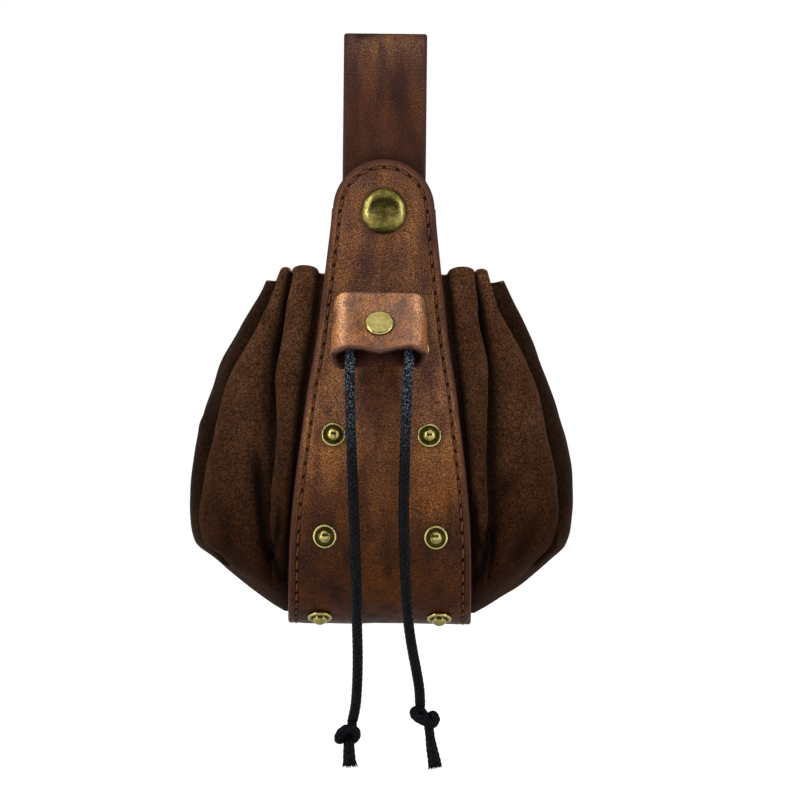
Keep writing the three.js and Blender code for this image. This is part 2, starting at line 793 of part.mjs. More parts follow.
function studProfile() {
  const back = -throughBag;
  return [
    [0, back - studBackPlate],
    [studBackRadius, back - studBackPlate],
    [studBackRadius, back],
    [studPost, back],
    [studPost, gap],
    [studRadius, gap],
    ...profileFrom(studFront, studRadius, studHeight),
  ];
}

// A flat rivet through leather of a thickness, with a plain back plate
function rivetProfile(radius, thickness) {
  const back = -thickness - gap;
  const backRadius = rivetBack * radius;
  return [
    [0, back - rivetBack * rivetHead],
    [backRadius, back - rivetBack * rivetHead],
    [backRadius, back],
    [rivetPost, back],
    [rivetPost, gap],
    [radius, gap],
    ...profileFrom(rivetFront, radius, rivetHead, gap),
  ];
}

function eyeletProfile() {
  const inner = cordRadius + eyeletSlack;
  const barrel = inner + eyeletWall;
  const back = -throughBag;
  const backRadius = eyeletRadius - eyeletWall;
  const shoulder = gap + 0.7 * eyeletFlange;
  return [
    [inner, back - eyeletFlange],
    [backRadius, back - eyeletFlange],
    [backRadius, back],
    [barrel, back],
    [barrel, gap],
    [eyeletRadius, gap],
    [eyeletRadius, shoulder],
    [(barrel + eyeletRadius) / 2, gap + eyeletFlange],
    [inner, shoulder],
    [inner, back - eyeletFlange],
  ];
}

// A knot with the cord's short tail below it
function knotGeometry(tail) {
  const [middle] = tail;
  const ball = new THREE.SphereGeometry(knotHeight / 2, 10, 7);
  ball.scale(knotWidth / knotHeight, 1, 1);
  ball.rotateX(Math.PI / 2);
  ball.translate(...middle);
  const steps = 4;
  return geometryOf(solidOf(ball).add(solidOf(tube(curveThrough(tail), cordRadius, steps))));
}

// A free cord end that stops just before its knot
function freeCord(route, knotMiddle) {
  const curve = curveThrough(route);
  const ball = new THREE.SphereGeometry(knotHeight / 2 + gap, 10, 7);
  ball.scale(knotWidth / knotHeight, 1, 1);
  ball.rotateX(Math.PI / 2);
  ball.translate(...knotMiddle);
  return cutFrom(tube(curve, cordRadius, freeCordSteps), [ball]);
}

// Materials
const leatherLook = new THREE.MeshStandardMaterial({ color: 0x6f4430, roughness: 0.55 });
const suedeLook = new THREE.MeshStandardMaterial({ color: 0x3d2a1e, roughness: 0.95 });
const brassLook = new THREE.MeshStandardMaterial({ color: 0x8a7a3a, roughness: 0.35, metalness: 0.9 });
const cordLook = new THREE.MeshStandardMaterial({ color: 0x15161a, roughness: 0.6 });

const pouch = new THREE.Group();

function addPiece(name, geometry, look) {
  const mesh = new THREE.Mesh(geometry, look);
  mesh.name = name;
  pouch.add(mesh);
}

// Places of the brass pieces on the strap
const studs = [
  ["stud_top_left", onFront(-topStudAcross, topStudDrop)],
  ["stud_top_right", onFront(topStudAcross, topStudDrop)],
  ["stud_middle_left", onBottom(-middleStudAcross, middleStudTurn)],
  ["stud_middle_right", onBottom(middleStudAcross, middleStudTurn)],
  ["stud_bottom_left", onBottom(-bottomStudAcross, bottomStudTurn)],
  ["stud_bottom_right", onBottom(bottomStudAcross, bottomStudTurn)],
];
const eyelets = [
  ["eyelet_left", onFront(-eyeletAcross, eyeletDrop)],
  ["eyelet_right", onFront(eyeletAcross, eyeletDrop)],
];
const snapPlace = onFront(0, snapDrop);
const backwards = new THREE.Vector3(0, 1, 0);
const loopRivets = [-1, 1].map((side) => {
  return new THREE.Vector3(side * loopRivetAcross, backFace(loopRivetDrop), -loopRivetDrop);
});

// Bores through the strap and the bag
const inwards = -throughBag - 2 * gap;
const studBores = studs.map(([, { place, direction }]) => {
  return bore(studPost + gap, place, direction, inwards, 2 * gap);
});
const eyeletBores = eyelets.map(([, { place, direction }]) => {
  return bore(cordRadius + eyeletSlack + eyeletWall + gap, place, direction, inwards, 2 * gap);
});
const snapBore = bore(snapBarrel + gap, snapPlace.place, snapPlace.direction, -strapLeather - gap, gap);
const rivetDepth = strapLeather + gap + loopLeather;
const rivetBores = loopRivets.map((place) => {
  return bore(rivetPost + gap, place, backwards, -rivetDepth - gap, gap);
});
const snapStudBore = bore(
  snapPin + gap,
  snapPlace.place,
  snapPlace.direction,
  -strapLeather - snapRoom - loopLeather - gap,
  -strapLeather - gap,
);

const drawstring = drawstringCurve();
const drawstringSteps = 72;
const punchSides = 6;
const punchRadius = (cordRadius + gap) / Math.cos(Math.PI / punchSides);
const drawstringBore = tube(drawstring, punchRadius, drawstringSteps, punchSides);

addPiece(
  "suede_bag",
  cutFrom(bagGeometry(), [...studBores, ...eyeletBores, drawstringBore]),
  suedeLook,
);
addPiece(
  "front_strap",
  cutFrom(strip(strapPath(), strapLeather, strapBevel), [
    ...studBores,
    ...eyeletBores,
    snapBore,
    ...rivetBores,
  ]),
  leatherLook,
);
addPiece(
  "belt_loop",
  cutFrom(strip(loopPath(), loopLeather, strapBevel / 2), [snapStudBore, ...rivetBores]),
  leatherLook,
);
addPiece(
  "snap_cap",
  aim(turned(snapCapProfile(), aroundCap), snapPlace.place, snapPlace.direction),
  brassLook,
);
addPiece(
  "snap_stud",
  aim(turned(snapStudProfile(), aroundSmall), snapPlace.place, snapPlace.direction),
  brassLook,
);
for (const [name, { place, direction }] of studs) {
  addPiece(name, aim(turned(studProfile(), aroundSmall), place, direction), brassLook);
}
for (const [name, { place, direction }] of eyelets) {
  addPiece(name, aim(turned(eyeletProfile(), aroundSmall), place, direction), brassLook);
}
["loop_rivet_left", "loop_rivet_right"].forEach((name, i) => {
  const rivet = turned(rivetProfile(loopRivetRadius, rivetDepth), aroundSmall);
  addPiece(name, aim(rivet, loopRivets[i], backwards), brassLook);
});
addPiece("cord_slider", sliderGeometry(), leatherLook);
const sliderPinch = 2 * sliderLeather + gap;
addPiece(
  "slider_rivet",
  aim(
    turned(rivetProfile(sliderRivetRadius, sliderPinch), aroundCap),
    inSlider(0, 0, sliderPinch / 2),
    sliderOut,
  ),
  brassLook,
);
addPiece("drawstring", tube(drawstring, cordRadius, drawstringSteps), cordLook);
addPiece("cord_left", freeCord(leftRoute, leftTail[0]), cordLook);
addPiece("cord_right", freeCord(rightRoute, rightTail[0]), cordLook);
addPiece("knot_left", knotGeometry(leftTail), cordLook);
addPiece("knot_right", knotGeometry(rightTail), cordLook);

export default pouch;
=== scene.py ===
import math

import bmesh
import bpy
import numpy as np
from mathutils import Matrix, Vector


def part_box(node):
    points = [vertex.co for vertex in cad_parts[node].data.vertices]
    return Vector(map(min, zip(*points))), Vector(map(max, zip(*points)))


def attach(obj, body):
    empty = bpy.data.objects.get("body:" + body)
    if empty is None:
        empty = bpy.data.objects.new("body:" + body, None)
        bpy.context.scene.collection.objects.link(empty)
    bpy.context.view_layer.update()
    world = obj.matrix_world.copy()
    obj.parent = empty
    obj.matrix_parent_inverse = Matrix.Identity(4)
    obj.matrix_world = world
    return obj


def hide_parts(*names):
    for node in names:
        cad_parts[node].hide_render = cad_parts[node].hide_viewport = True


# A medieval belt pouch: a pleated suede bag held by a stitched leather strap, with a belt loop
# that snaps shut and a waxed drawstring. The CAD model is the frame, in metres, +Z up, and the
# front faces -Y. Sizes below are in millimetres, and MM turns them into metres.
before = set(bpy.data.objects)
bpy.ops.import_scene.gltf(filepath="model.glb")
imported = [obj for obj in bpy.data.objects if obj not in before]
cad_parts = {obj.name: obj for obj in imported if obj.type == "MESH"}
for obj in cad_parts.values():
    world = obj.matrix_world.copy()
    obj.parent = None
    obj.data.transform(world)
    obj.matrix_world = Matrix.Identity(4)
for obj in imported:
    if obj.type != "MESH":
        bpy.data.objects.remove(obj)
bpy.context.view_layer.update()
MM = 0.001

# Camera
# The photograph looks straight at the pouch from a little above, through a long lens, and the
# pouch leans about half a degree. One picture point is a third of a millimetre.
PICTURE_POINTS = 800
POINT_SIZE = 0.33
VIEW_WIDTH = PICTURE_POINTS * POINT_SIZE
VIEW_CENTRE = (6, -12, -118.6)
CAMERA_DISTANCE = 6000
CAMERA_RISE = math.radians(0.4)
CAMERA_LEAN = math.radians(0.6)

camera_data = bpy.data.cameras.new("camera")
camera_data.sensor_width = 36
camera_data.lens = camera_data.sensor_width * CAMERA_DISTANCE / VIEW_WIDTH
camera = bpy.data.objects.new("camera", camera_data)
bpy.context.scene.collection.objects.link(camera)
away = Vector((0, -math.cos(CAMERA_RISE), math.sin(CAMERA_RISE)))
camera.location = (Vector(VIEW_CENTRE) + CAMERA_DISTANCE * away) * MM
level = away.to_track_quat("Z", "Y").to_matrix()
camera.rotation_euler = (level @ Matrix.Rotation(CAMERA_LEAN, 3, "Z")).to_euler()
bpy.context.scene.camera = camera

# Studio
# A wide white table top under the hanging pouch, an even white room, and three large soft lamps:
# an upright one at each side and a wide one in front from above.
FLOOR_DROP = 262
FLOOR_RADIUS = 6000
# The table top is brighter away from the pouch: distances, and how much it glows at each
FLOOR_GLOW_REACH, FLOOR_GLOW = (120, 340), (0.02, 0.85)
LAMPS = [
    # name, place, width, height, watts
    ("lamp_left", (-640, -480, 150), 130, 900, 3.4),
    ("lamp_right", (660, -440, 80), 110, 900, 2.4),
    ("lamp_above", (-110, -420, 900), 1600, 1200, 9.5),
]
# The room is white at eye level and dimmer above. What shines reflects its sides more than its
# front and its ceiling, because a studio is dark round the camera.
ROOM_RISE, ROOM_LIGHT = (0.1, 0.4), (1.0, 0.3)
GLOSS_ASIDE, GLOSS_LIGHT = (0.55, 0.85), (0.06, 0.6)


def fading(tree, value, inputs, outputs):
    """Goes evenly from one output to the other while the value goes between the inputs."""
    fade = tree.nodes.new("ShaderNodeMapRange")
    for socket, limit in zip(("From Min", "From Max", "To Min", "To Max"), (*inputs, *outputs)):
        fade.inputs[socket].default_value = limit
    tree.links.new(value, fade.inputs["Value"])
    return fade.outputs[0]


world = bpy.data.worlds.new("room")
world.use_nodes = True
room = world.node_tree
room_direction = room.nodes.new("ShaderNodeTexCoord")
room_parts = room.nodes.new("ShaderNodeSeparateXYZ")
room.links.new(room_direction.outputs["Generated"], room_parts.inputs[0])
room_light = fading(room, room_parts.outputs["Z"], ROOM_RISE, ROOM_LIGHT)
room_aside = room.nodes.new("ShaderNodeMath")
room_aside.operation = "ABSOLUTE"
room.links.new(room_parts.outputs["X"], room_aside.inputs[0])
gloss_light = fading(room, room_aside.outputs[0], GLOSS_ASIDE, GLOSS_LIGHT)
room_ray = room.nodes.new("ShaderNodeLightPath")
room_choice = room.nodes.new("ShaderNodeMix")
room.links.new(room_ray.outputs["Is Glossy Ray"], room_choice.inputs["Factor"])
room.links.new(room_light, room_choice.inputs[2])
room.links.new(gloss_light, room_choice.inputs[3])
room.links.new(room_choice.outputs[0], room.nodes["Background"].inputs["Strength"])
room.nodes["Background"].inputs["Color"].default_value = (1, 1, 1, 1)
bpy.context.scene.world = world
bpy.context.scene.view_settings.view_transform = "Standard"

for name, place, width, height, watts in LAMPS:
    lamp_data = bpy.data.lights.new(name, "AREA")
    lamp_data.shape = "RECTANGLE"
    lamp_data.size = width * MM
    lamp_data.size_y = height * MM
    lamp_data.energy = watts
    lamp = bpy.data.objects.new(name, lamp_data)
    lamp.location = Vector(place) * MM
    towards = lamp.location - Vector(VIEW_CENTRE) * MM
    lamp.rotation_euler = towards.to_track_quat("Z", "Y").to_euler()
    bpy.context.scene.collection.objects.link(lamp)

floor_mesh = bpy.data.meshes.new("table_top")
floor_shape = bmesh.new()
bmesh.ops.create_circle(floor_shape, cap_ends=True, segments=96, radius=FLOOR_RADIUS * MM)
floor_shape.to_mesh(floor_mesh)
floor_shape.free()
floor = bpy.data.objects.new("table_top", floor_mesh)
floor.location.z = -FLOOR_DROP * MM
bpy.context.scene.collection.objects.link(floor)
floor_look = bpy.data.materials.new("table_top_white")
floor_look.use_nodes = True
floor_shader = floor_look.node_tree.nodes["Principled BSDF"]
floor_shader.inputs["Base Color"].default_value = (0.75, 0.75, 0.75, 1)
floor_shader.inputs["Roughness"].default_value = 0.9
floor_shader.inputs["Emission Color"].default_value = (1, 1, 1, 1)
floor_tree = floor_look.node_tree
floor_place = floor_tree.nodes.new("ShaderNodeTexCoord")
floor_away = floor_tree.nodes.new("ShaderNodeVectorMath")
floor_away.operation = "LENGTH"
floor_tree.links.new(floor_place.outputs["Object"], floor_away.inputs[0])
floor_reach = [distance * MM for distance in FLOOR_GLOW_REACH]
floor_glow = fading(floor_tree, floor_away.outputs["Value"], floor_reach, FLOOR_GLOW)
floor_tree.links.new(floor_glow, floor_shader.inputs["Emission Strength"])
floor_mesh.materials.append(floor_look)

# Free cord ends
# Two ends of a black waxed cotton braid, 3.2 mm thick, hang from the slider's lower mouth in
# front of the strap. Sixteen flat strands run round a core, eight each way.
CORD_DIAMETER = 3.2
BRAID_STRANDS = 8
BRAID_RADIUS = 1.78
BRAID_PITCH = 14.4
# A strand's half width and half thickness, and how far it rises where it crosses over another
STRAND_WIDE, STRAND_THICK, STRAND_LIFT = 0.56, 0.3, 0.11
CORE_SHARE, CORE_SIDES = 0.8, 8
CORD_STEP = 0.42
# Each route runs from the slider's lower mouth down to the knot
LEFT_ROUTE = [
    (-10.5, -40.3, -104.8),
    (-10.55, -41.5, -106.6),
    (-10.6, -42.4, -108.8),
    (-10.55, -42.9, -111.5),
    (-10.35, -43.1, -118.6),
    (-9.95, -43.1, -130.2),
    (-9.55, -43.0, -139),
    (-9.15, -42.9, -147),
    (-8.75, -42.8, -156),
    (-8.35, -42.8, -164.5),
    (-7.75, -42.7, -178),
    (-7.35, -42.6, -192),
    (-7.0, -42.5, -203),
    (-7.1, -42.4, -212),
    (-7.55, -42.4, -219),
    (-8.5, -42.3, -224),
]
RIGHT_ROUTE = [
    (8.9, -40.3, -104.8),
    (8.75, -41.5, -106.6),
    (8.6, -42.4, -108.8),
    (8.45, -42.9, -111.5),
    (8.2, -43.1, -118.6),
    (7.9, -43.1, -130.2),
    (7.7, -43.0, -141.7),
    (7.6, -42.9, -154),
    (7.85, -42.8, -164.5),
    (8.55, -42.7, -180),
    (9.6, -42.6, -192),
    (11.0, -42.5, -200.8),
    (12.2, -42.5, -206.7),
    (13.3, -42.4, -213),
    (13.7, -42.3, -218.5),
]


class Look:
    """A procedural material, built node by node round its shader."""

    def __init__(self, name, roughness, shine=0.5, metallic=0.0):
        self.material = bpy.data.materials.new(name)
        self.material.use_nodes = True
        self.nodes = self.material.node_tree.nodes
        self.links = self.material.node_tree.links
        self.shader = self.nodes["Principled BSDF"]
        self.shader.inputs["Roughness"].default_value = roughness
        self.shader.inputs["Specular IOR Level"].default_value = shine
        self.shader.inputs["Metallic"].default_value = metallic
        self.place = self.nodes.new("ShaderNodeTexCoord").outputs["Object"]

    def node(self, kind, inputs, **settings):
        made = self.nodes.new(kind)
        for setting, value in settings.items():
            setattr(made, setting, value)
        for socket, value in inputs.items():
            if isinstance(value, bpy.types.NodeSocket):
                self.links.new(value, made.inputs[socket])
            else:
                made.inputs[socket].default_value = value
        return made

    def noise(self, grain, detail=4.0, stretch=(1, 1, 1)):
        """Cloudy variation with patches about grain millimetres across."""
        scaled = self.node("ShaderNodeMapping", {"Vector": self.place, "Scale": stretch})
        inputs = {"Vector": scaled.outputs[0], "Scale": 1 / (grain * MM), "Detail": detail}
        return self.node("ShaderNodeTexNoise", inputs).outputs["Fac"]

    def attribute(self, name):
        return self.node("ShaderNodeAttribute", {}, attribute_name=name).outputs["Fac"]

    def ramp(self, share, stops):
        """A colour or grey for each share, from (share, colour) stops."""
        made = self.node("ShaderNodeValToRGB", {"Fac": share})
        while len(made.color_ramp.elements) < len(stops):
            made.color_ramp.elements.new(1)
        for element, (at, colour) in zip(made.color_ramp.elements, stops):
            element.position = at
            element.color = (*colour, 1) if hasattr(colour, "__len__") else (colour,) * 3 + (1,)
        return made.outputs["Color"]

    def by_drop(self, stops):
        """A colour that changes down the pouch, from (drop in millimetres, colour) stops."""
        height = self.node("ShaderNodeSeparateXYZ", {0: self.place}).outputs["Z"]
        top, foot = stops[0][0], stops[-1][0]
        limits = {"Value": height, "From Min": -top * MM, "From Max": -foot * MM}
        share = self.node("ShaderNodeMapRange", limits).outputs[0]
        return self.ramp(share, [((drop - top) / (foot - top), c) for drop, c in stops])

    def blend(self, share, first, second, kind="MIX"):
        made = self.nodes.new("ShaderNodeMix")
        made.data_type = "RGBA"
        made.blend_type = kind
        for socket, value in ((0, share), (6, first), (7, second)):
            if isinstance(value, bpy.types.NodeSocket):
                self.links.new(value, made.inputs[socket])
            elif socket == 0:
                made.inputs[socket].default_value = value
            else:
                made.inputs[socket].default_value = (*value, 1)
        return made.outputs[2]

    def sums(self, operation, first, second):
        return self.node("ShaderNodeMath", {0: first, 1: second}, operation=operation).outputs[0]

    def relief(self, height, depth, under=None):
        """Bumps of a depth in millimetres, over those that are there already."""
        inputs = {"Height": height, "Strength": 1.0, "Distance": depth * MM}
        if under is not None:
            inputs["Normal"] = under
        return self.node("ShaderNodeBump", inputs).outputs["Normal"]

    def colour(self, socket):
        self.links.new(socket, self.shader.inputs["Base Color"])

    def rough(self, socket):
        self.links.new(socket, self.shader.inputs["Roughness"])

    def normal(self, socket):
        self.links.new(socket, self.shader.inputs["Normal"])


def cord_look():
    """Black waxed cotton with a painted bluish sheen in flecks, strongest near the top, where the
    light from above falls, and fading out lower down.
    """
    look = Look("waxed_cord", 0.42, 0.06)
    flecks = look.ramp(look.noise(0.55, 3), [(0.5, 0.0), (0.68, 1.0)])
    # Painted sheen: bluish flecks, strongest near the top and almost gone by the knots
    painted_sheen = look.by_drop([
        (98, (0.16, 0.19, 0.25)),
        (116, (0.09, 0.11, 0.145)),
        (140, (0.008, 0.01, 0.014)),
    ])
    look.colour(look.blend(flecks, (0.0012, 0.0014, 0.002), painted_sheen))
    look.rough(look.ramp(look.noise(1.1, 3), [(0.3, 0.25), (0.7, 0.45)]))
    look.normal(look.relief(look.noise(0.25, 2, (1, 1, 0.4)), 0.08))
    return look.material


def unit(vectors):
    return vectors / np.maximum(np.linalg.norm(vectors, axis=-1, keepdims=True), 1e-9)


def distances_along(path):
    """How far along a line each of its points lies."""
    return np.r_[0, np.cumsum(np.linalg.norm(np.diff(path, axis=0), axis=1))]


def smooth_route(points, step):
    """A smooth line through the points, in equal steps of about that length."""
    knots = np.array(points, float)
    knots = np.vstack([2 * knots[0] - knots[1], knots, 2 * knots[-1] - knots[-2]])
    fine = []
    for i in range(1, len(knots) - 2):
        p = knots[i - 1 : i + 3]
        t = np.concatenate([[0], np.cumsum(np.linalg.norm(np.diff(p, axis=0), axis=1) ** 0.5)])
        for at in np.linspace(t[1], t[2], 24, endpoint=False):
            near = [
                ((t[k + 1] - at) * p[k] + (at - t[k]) * p[k + 1]) / (t[k + 1] - t[k])
                for k in range(3)
            ]
            wide = [
                ((t[k + 2] - at) * near[k] + (at - t[k]) * near[k + 1]) / (t[k + 2] - t[k])
                for k in range(2)
            ]
            fine.append(((t[2] - at) * wide[0] + (at - t[1]) * wide[1]) / (t[2] - t[1]))
    fine = np.array(fine + [knots[-2]])
    along = distances_along(fine)
    count = max(int(round(along[-1] / step)), 2) + 1
    stops = np.linspace(0, along[-1], count)
    return np.stack([np.interp(stops, along, fine[:, k]) for k in range(3)], axis=1)


def side_directions(path):
    """Two directions across a line that turn as little as they can along it."""
    ahead = unit(np.gradient(path, axis=0))
    first = np.cross(ahead[0], (0, 1, 0.1))
    sides = [first / np.linalg.norm(first)]
    for direction in ahead[1:]:
        carried = sides[-1] - np.dot(sides[-1], direction) * direction
        sides.append(carried / np.linalg.norm(carried))
    sides = np.array(sides)
    return ahead, sides, np.cross(ahead, sides)


def grid_faces(rows, columns, start=0, closed=True, ends=False):
    """Faces of a grid of points, closed round its columns and over its ends if asked."""
    faces = []
    last = columns if closed else columns - 1
    for r in range(rows - 1):
        for c in range(last):
            a, b = start + r * columns + c, start + r * columns + (c + 1) % columns
            faces.append((a, b, b + columns, a + columns))
    if ends:
        faces.append(tuple(start + c for c in reversed(range(columns))))
        faces.append(tuple(start + (rows - 1) * columns + c for c in range(columns)))
    return faces


def braid(path, radius, sides=6, open_end=None):
    """Points and faces of a round braid along a path: strands over a plain core. Near the end
    the strands swell by the factors in open_end."""
    scale = radius / (CORD_DIAMETER / 2)
    ahead, across, up = side_directions(path)
    along = distances_along(path)
    swell = np.ones(len(path)) if open_end is None else open_end
    middle = radius - (STRAND_THICK + STRAND_LIFT) * scale
    round_turn = 2 * np.pi * np.arange(sides) / sides
    points, faces = [], []
    for way in (1, -1):
        for strand in range(BRAID_STRANDS):
            turn = way * 2 * np.pi * along / BRAID_PITCH + 2 * np.pi * strand / BRAID_STRANDS
            out = np.cos(turn)[:, None] * across + np.sin(turn)[:, None] * up
            away = middle + way * STRAND_LIFT * scale * np.cos(BRAID_STRANDS * turn / 2)
            centre = path + (away * swell)[:, None] * out
            run = unit(np.gradient(centre, axis=0))
            wide = unit(np.cross(out, run))
            ring = centre[:, None, :] + swell[:, None, None] * scale * (
                STRAND_WIDE * np.cos(round_turn)[None, :, None] * wide[:, None, :]
                + STRAND_THICK * np.sin(round_turn)[None, :, None] * out[:, None, :]
            )
            faces += grid_faces(len(path), sides, len(points) * len(path) * sides, ends=True)
            points.append(ring.reshape(-1, 3))
    start = len(points) * len(path) * sides
    core_turn = 2 * np.pi * np.arange(CORE_SIDES) / CORE_SIDES
    core = path[:, None, :] + (CORE_SHARE * middle * swell)[:, None, None] * (
        np.cos(core_turn)[None, :, None] * across[:, None, :]
        + np.sin(core_turn)[None, :, None] * up[:, None, :]
    )
    faces += grid_faces(len(path), CORE_SIDES, start, ends=True)
    return np.vstack(points + [core.reshape(-1, 3)]), faces


def add_piece(name, points, faces, *materials):
    """One piece of the pouch, from points in millimetres and the faces between them."""
    mesh = bpy.data.meshes.new(name)
    mesh.from_pydata((np.asarray(points, float) * MM).tolist(), [], faces)
    for material in materials:
        mesh.materials.append(material)
    mesh.shade_smooth()
    piece = bpy.data.objects.new(name, mesh)
    bpy.context.scene.collection.objects.link(piece)
    return piece


waxed = cord_look()
cords = {}
for side, route in (("left", LEFT_ROUTE), ("right", RIGHT_ROUTE)):
    cord_path = smooth_route(route, CORD_STEP)
    cord_points, cord_faces = braid(cord_path, BRAID_RADIUS)
    cord_piece = add_piece(f"cord_braid_{side}", cord_points, cord_faces, waxed)
    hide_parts(f"cord_{side}")
    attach(cord_piece, "root")
    cords[side] = (cord_piece, cord_path)

# Knots
# Each cord end is tied in an overhand knot, pulled tight, and cut off with a short tail whose
# strands open like a brush. The cord's painted sheen has almost faded out this low, so the turns
# are black.
KNOT_CORD = 3.3
KNOT_STEP = 0.36
LEFT_KNOT_MIDDLE, RIGHT_KNOT_MIDDLE = (-9.9, -42.3, -228.3), (15.2, -42.3, -222.9)
# Places across, behind and above the knot's middle, from the cord to the cut tail
LEFT_KNOT = [
    (1.3, 0.1, 4.6),
    (1.2, 0.5, 2.4),
    (0.4, 1.5, 0.2),
    (-1.7, 1.2, -1.5),
    (-3.0, 0.0, -1.7),
    (-2.5, -1.5, 0.2),
    (-0.6, -2.1, 1.7),
    (1.6, -1.6, 1.6),
    (2.7, -0.2, 0.2),
    (1.9, 0.9, -1.5),
    (0.2, 0.7, -2.0),
    (0.3, 0.0, -3.6),
    (0.4, 0.0, -6.2),
    (0.6, -0.1, -9.9),
]
RIGHT_KNOT = [
    (-1.5, 0.1, 4.5),
    (-1.3, 0.8, 2.2),
    (0.3, 1.8, -0.4),
    (2.6, 1.1, 1.1),
    (3.5, -0.2, -0.4),
    (2.3, -1.7, -1.7),
    (-0.2, -2.2, -0.8),
    (-2.6, -1.7, 0.5),
    (-3.5, -0.2, 1.9),
    (-2.2, 1.0, 2.9),
    (-0.1, 0.9, 1.0),
    (1.2, 0.4, -1.8),
    (1.6, 0.0, -4.2),
    (2.2, -0.1, -8.4),
    (3.6, -0.1, -15.3),
]
TAIL_OPENS = 9.0
TAIL_SWELL = 0.42
FRAY_FIBRES = 150
FRAY_SHARE = 0.92
# A fibre starts this far up inside the tail, stands out this far, and is this thick
FIBRE_ROOT, FIBRE_REACH, FIBRE_RADIUS = 1.2, (1.2, 2.5), (0.12, 0.2)
FIBRE_LEAN = 0.28


def frayed_end(path, radius, seed):
    """Short cut fibres that stand out of a cord's end."""
    chance = np.random.default_rng(seed)
    ahead, across, up = side_directions(path)
    points, faces = [], []
    for _ in range(FRAY_FIBRES):
        turn = chance.uniform(0, 2 * np.pi)
        away = radius * math.sqrt(chance.uniform(0, 1))
        out = math.cos(turn) * across[-1] + math.sin(turn) * up[-1]
        root = path[-1] + away * out - FIBRE_ROOT * ahead[-1]
        reach = chance.uniform(*FIBRE_REACH)
        lean = FIBRE_LEAN * away / radius + chance.normal(0, 0.1)
        line = [root + reach * u * (ahead[-1] + lean * u * out) for u in (0, 0.35, 0.7, 1)]
        wide = chance.uniform(*FIBRE_RADIUS)
        rings = [
            line[k] + wide * (1 - 0.2 * k) * (math.cos(a) * across[-1] + math.sin(a) * up[-1])
            for k in range(4)
            for a in (0, 2.09, 4.19)
        ]
        faces += grid_faces(4, 3, len(points), ends=True)
        points += rings
    return np.array(points), faces


for side, knot_middle, knot_route, seed in (
    ("left", LEFT_KNOT_MIDDLE, LEFT_KNOT, 5),
    ("right", RIGHT_KNOT_MIDDLE, RIGHT_KNOT, 9),
):
    knot_path = smooth_route(np.array(knot_route) + knot_middle, KNOT_STEP)
    from_end = distances_along(knot_path)[-1] * np.linspace(1, 0, len(knot_path))
    opening = 1 + TAIL_SWELL * np.clip(1 - from_end / TAIL_OPENS, 0, 1) ** 0.8
    knot_points, knot_faces = braid(knot_path, KNOT_CORD / 2, open_end=opening)
    fray_radius = KNOT_CORD / 2 * (1 + TAIL_SWELL) * FRAY_SHARE
    fray_points, fray_faces = frayed_end(knot_path, fray_radius, seed)
    knot_faces += [tuple(i + len(knot_points) for i in face) for face in fray_faces]
    knot_points = np.vstack([knot_points, fray_points])
    knot = add_piece(f"knot_tied_{side}", knot_points, knot_faces, waxed)
    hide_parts(f"knot_{side}")
    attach(knot, "root")
    cord_piece, cord_path = cords[side]

# Suede bag
# One piece of soft brown suede, 1.2 mm thick, gathered into deep pleats at the mouth and caught
# under the strap at front, bottom and back. The mouth is open, and its cut edge shows paler.
strap_low, strap_high = (np.array(corner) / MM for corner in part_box("front_strap"))
bag_high = np.array(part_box("suede_bag")[1]) / MM
STRAP_LEATHER = 3.0
FRONT_REACH, BACK_REACH = -strap_low[1], strap_high[1]
TONGUE_DROP, FOOT_DROP = -strap_high[2], -strap_low[2]
FOOT_HALF = strap_high[0]
TONGUE_HALF = 16.8
TONGUE_REACH, BACK_END_REACH, BACK_END_DROP = 12.6, 10.5, 51.0
BOTTOM_DEPTH = 32.7
BELLY_DROP = FOOT_DROP - BOTTOM_DEPTH
BAG_WALL = 1.2
BAG_INSET = STRAP_LEATHER + 0.7
BAG_HALF = bag_high[0]
BAG_FOOT_DROP = FOOT_DROP - BAG_INSET
RIM_DROP = 75.5
STRAP_FLAT = 0.96
# Outer face of the strap's front, from the tongue's top down to the belly, and how far out
FRONT_PROFILE = [
    (0, 0),
    (0.21, 0),
    (0.31, 0.09),
    (0.5, 0.42),
    (0.75, 0.835),
    (0.917, 0.977),
    (1, 1),
]
# The same on the back, from the strap's end to the belly
BACK_PROFILE = [(0, 0), (0.17, 0), (0.28, 0.24), (0.45, 0.74), (0.58, 0.97), (0.64, 1), (1, 1)]
# Half width of the strap, from the tongue's to the foot's
STRAP_WIDTHS = [
    (0, 0),
    (0.1, 0.02),
    (0.22, 0.15),
    (0.303, 0.261),
    (0.389, 0.373),
    (0.518, 0.612),
    (0.846, 0.978),
    (1, 1),
]
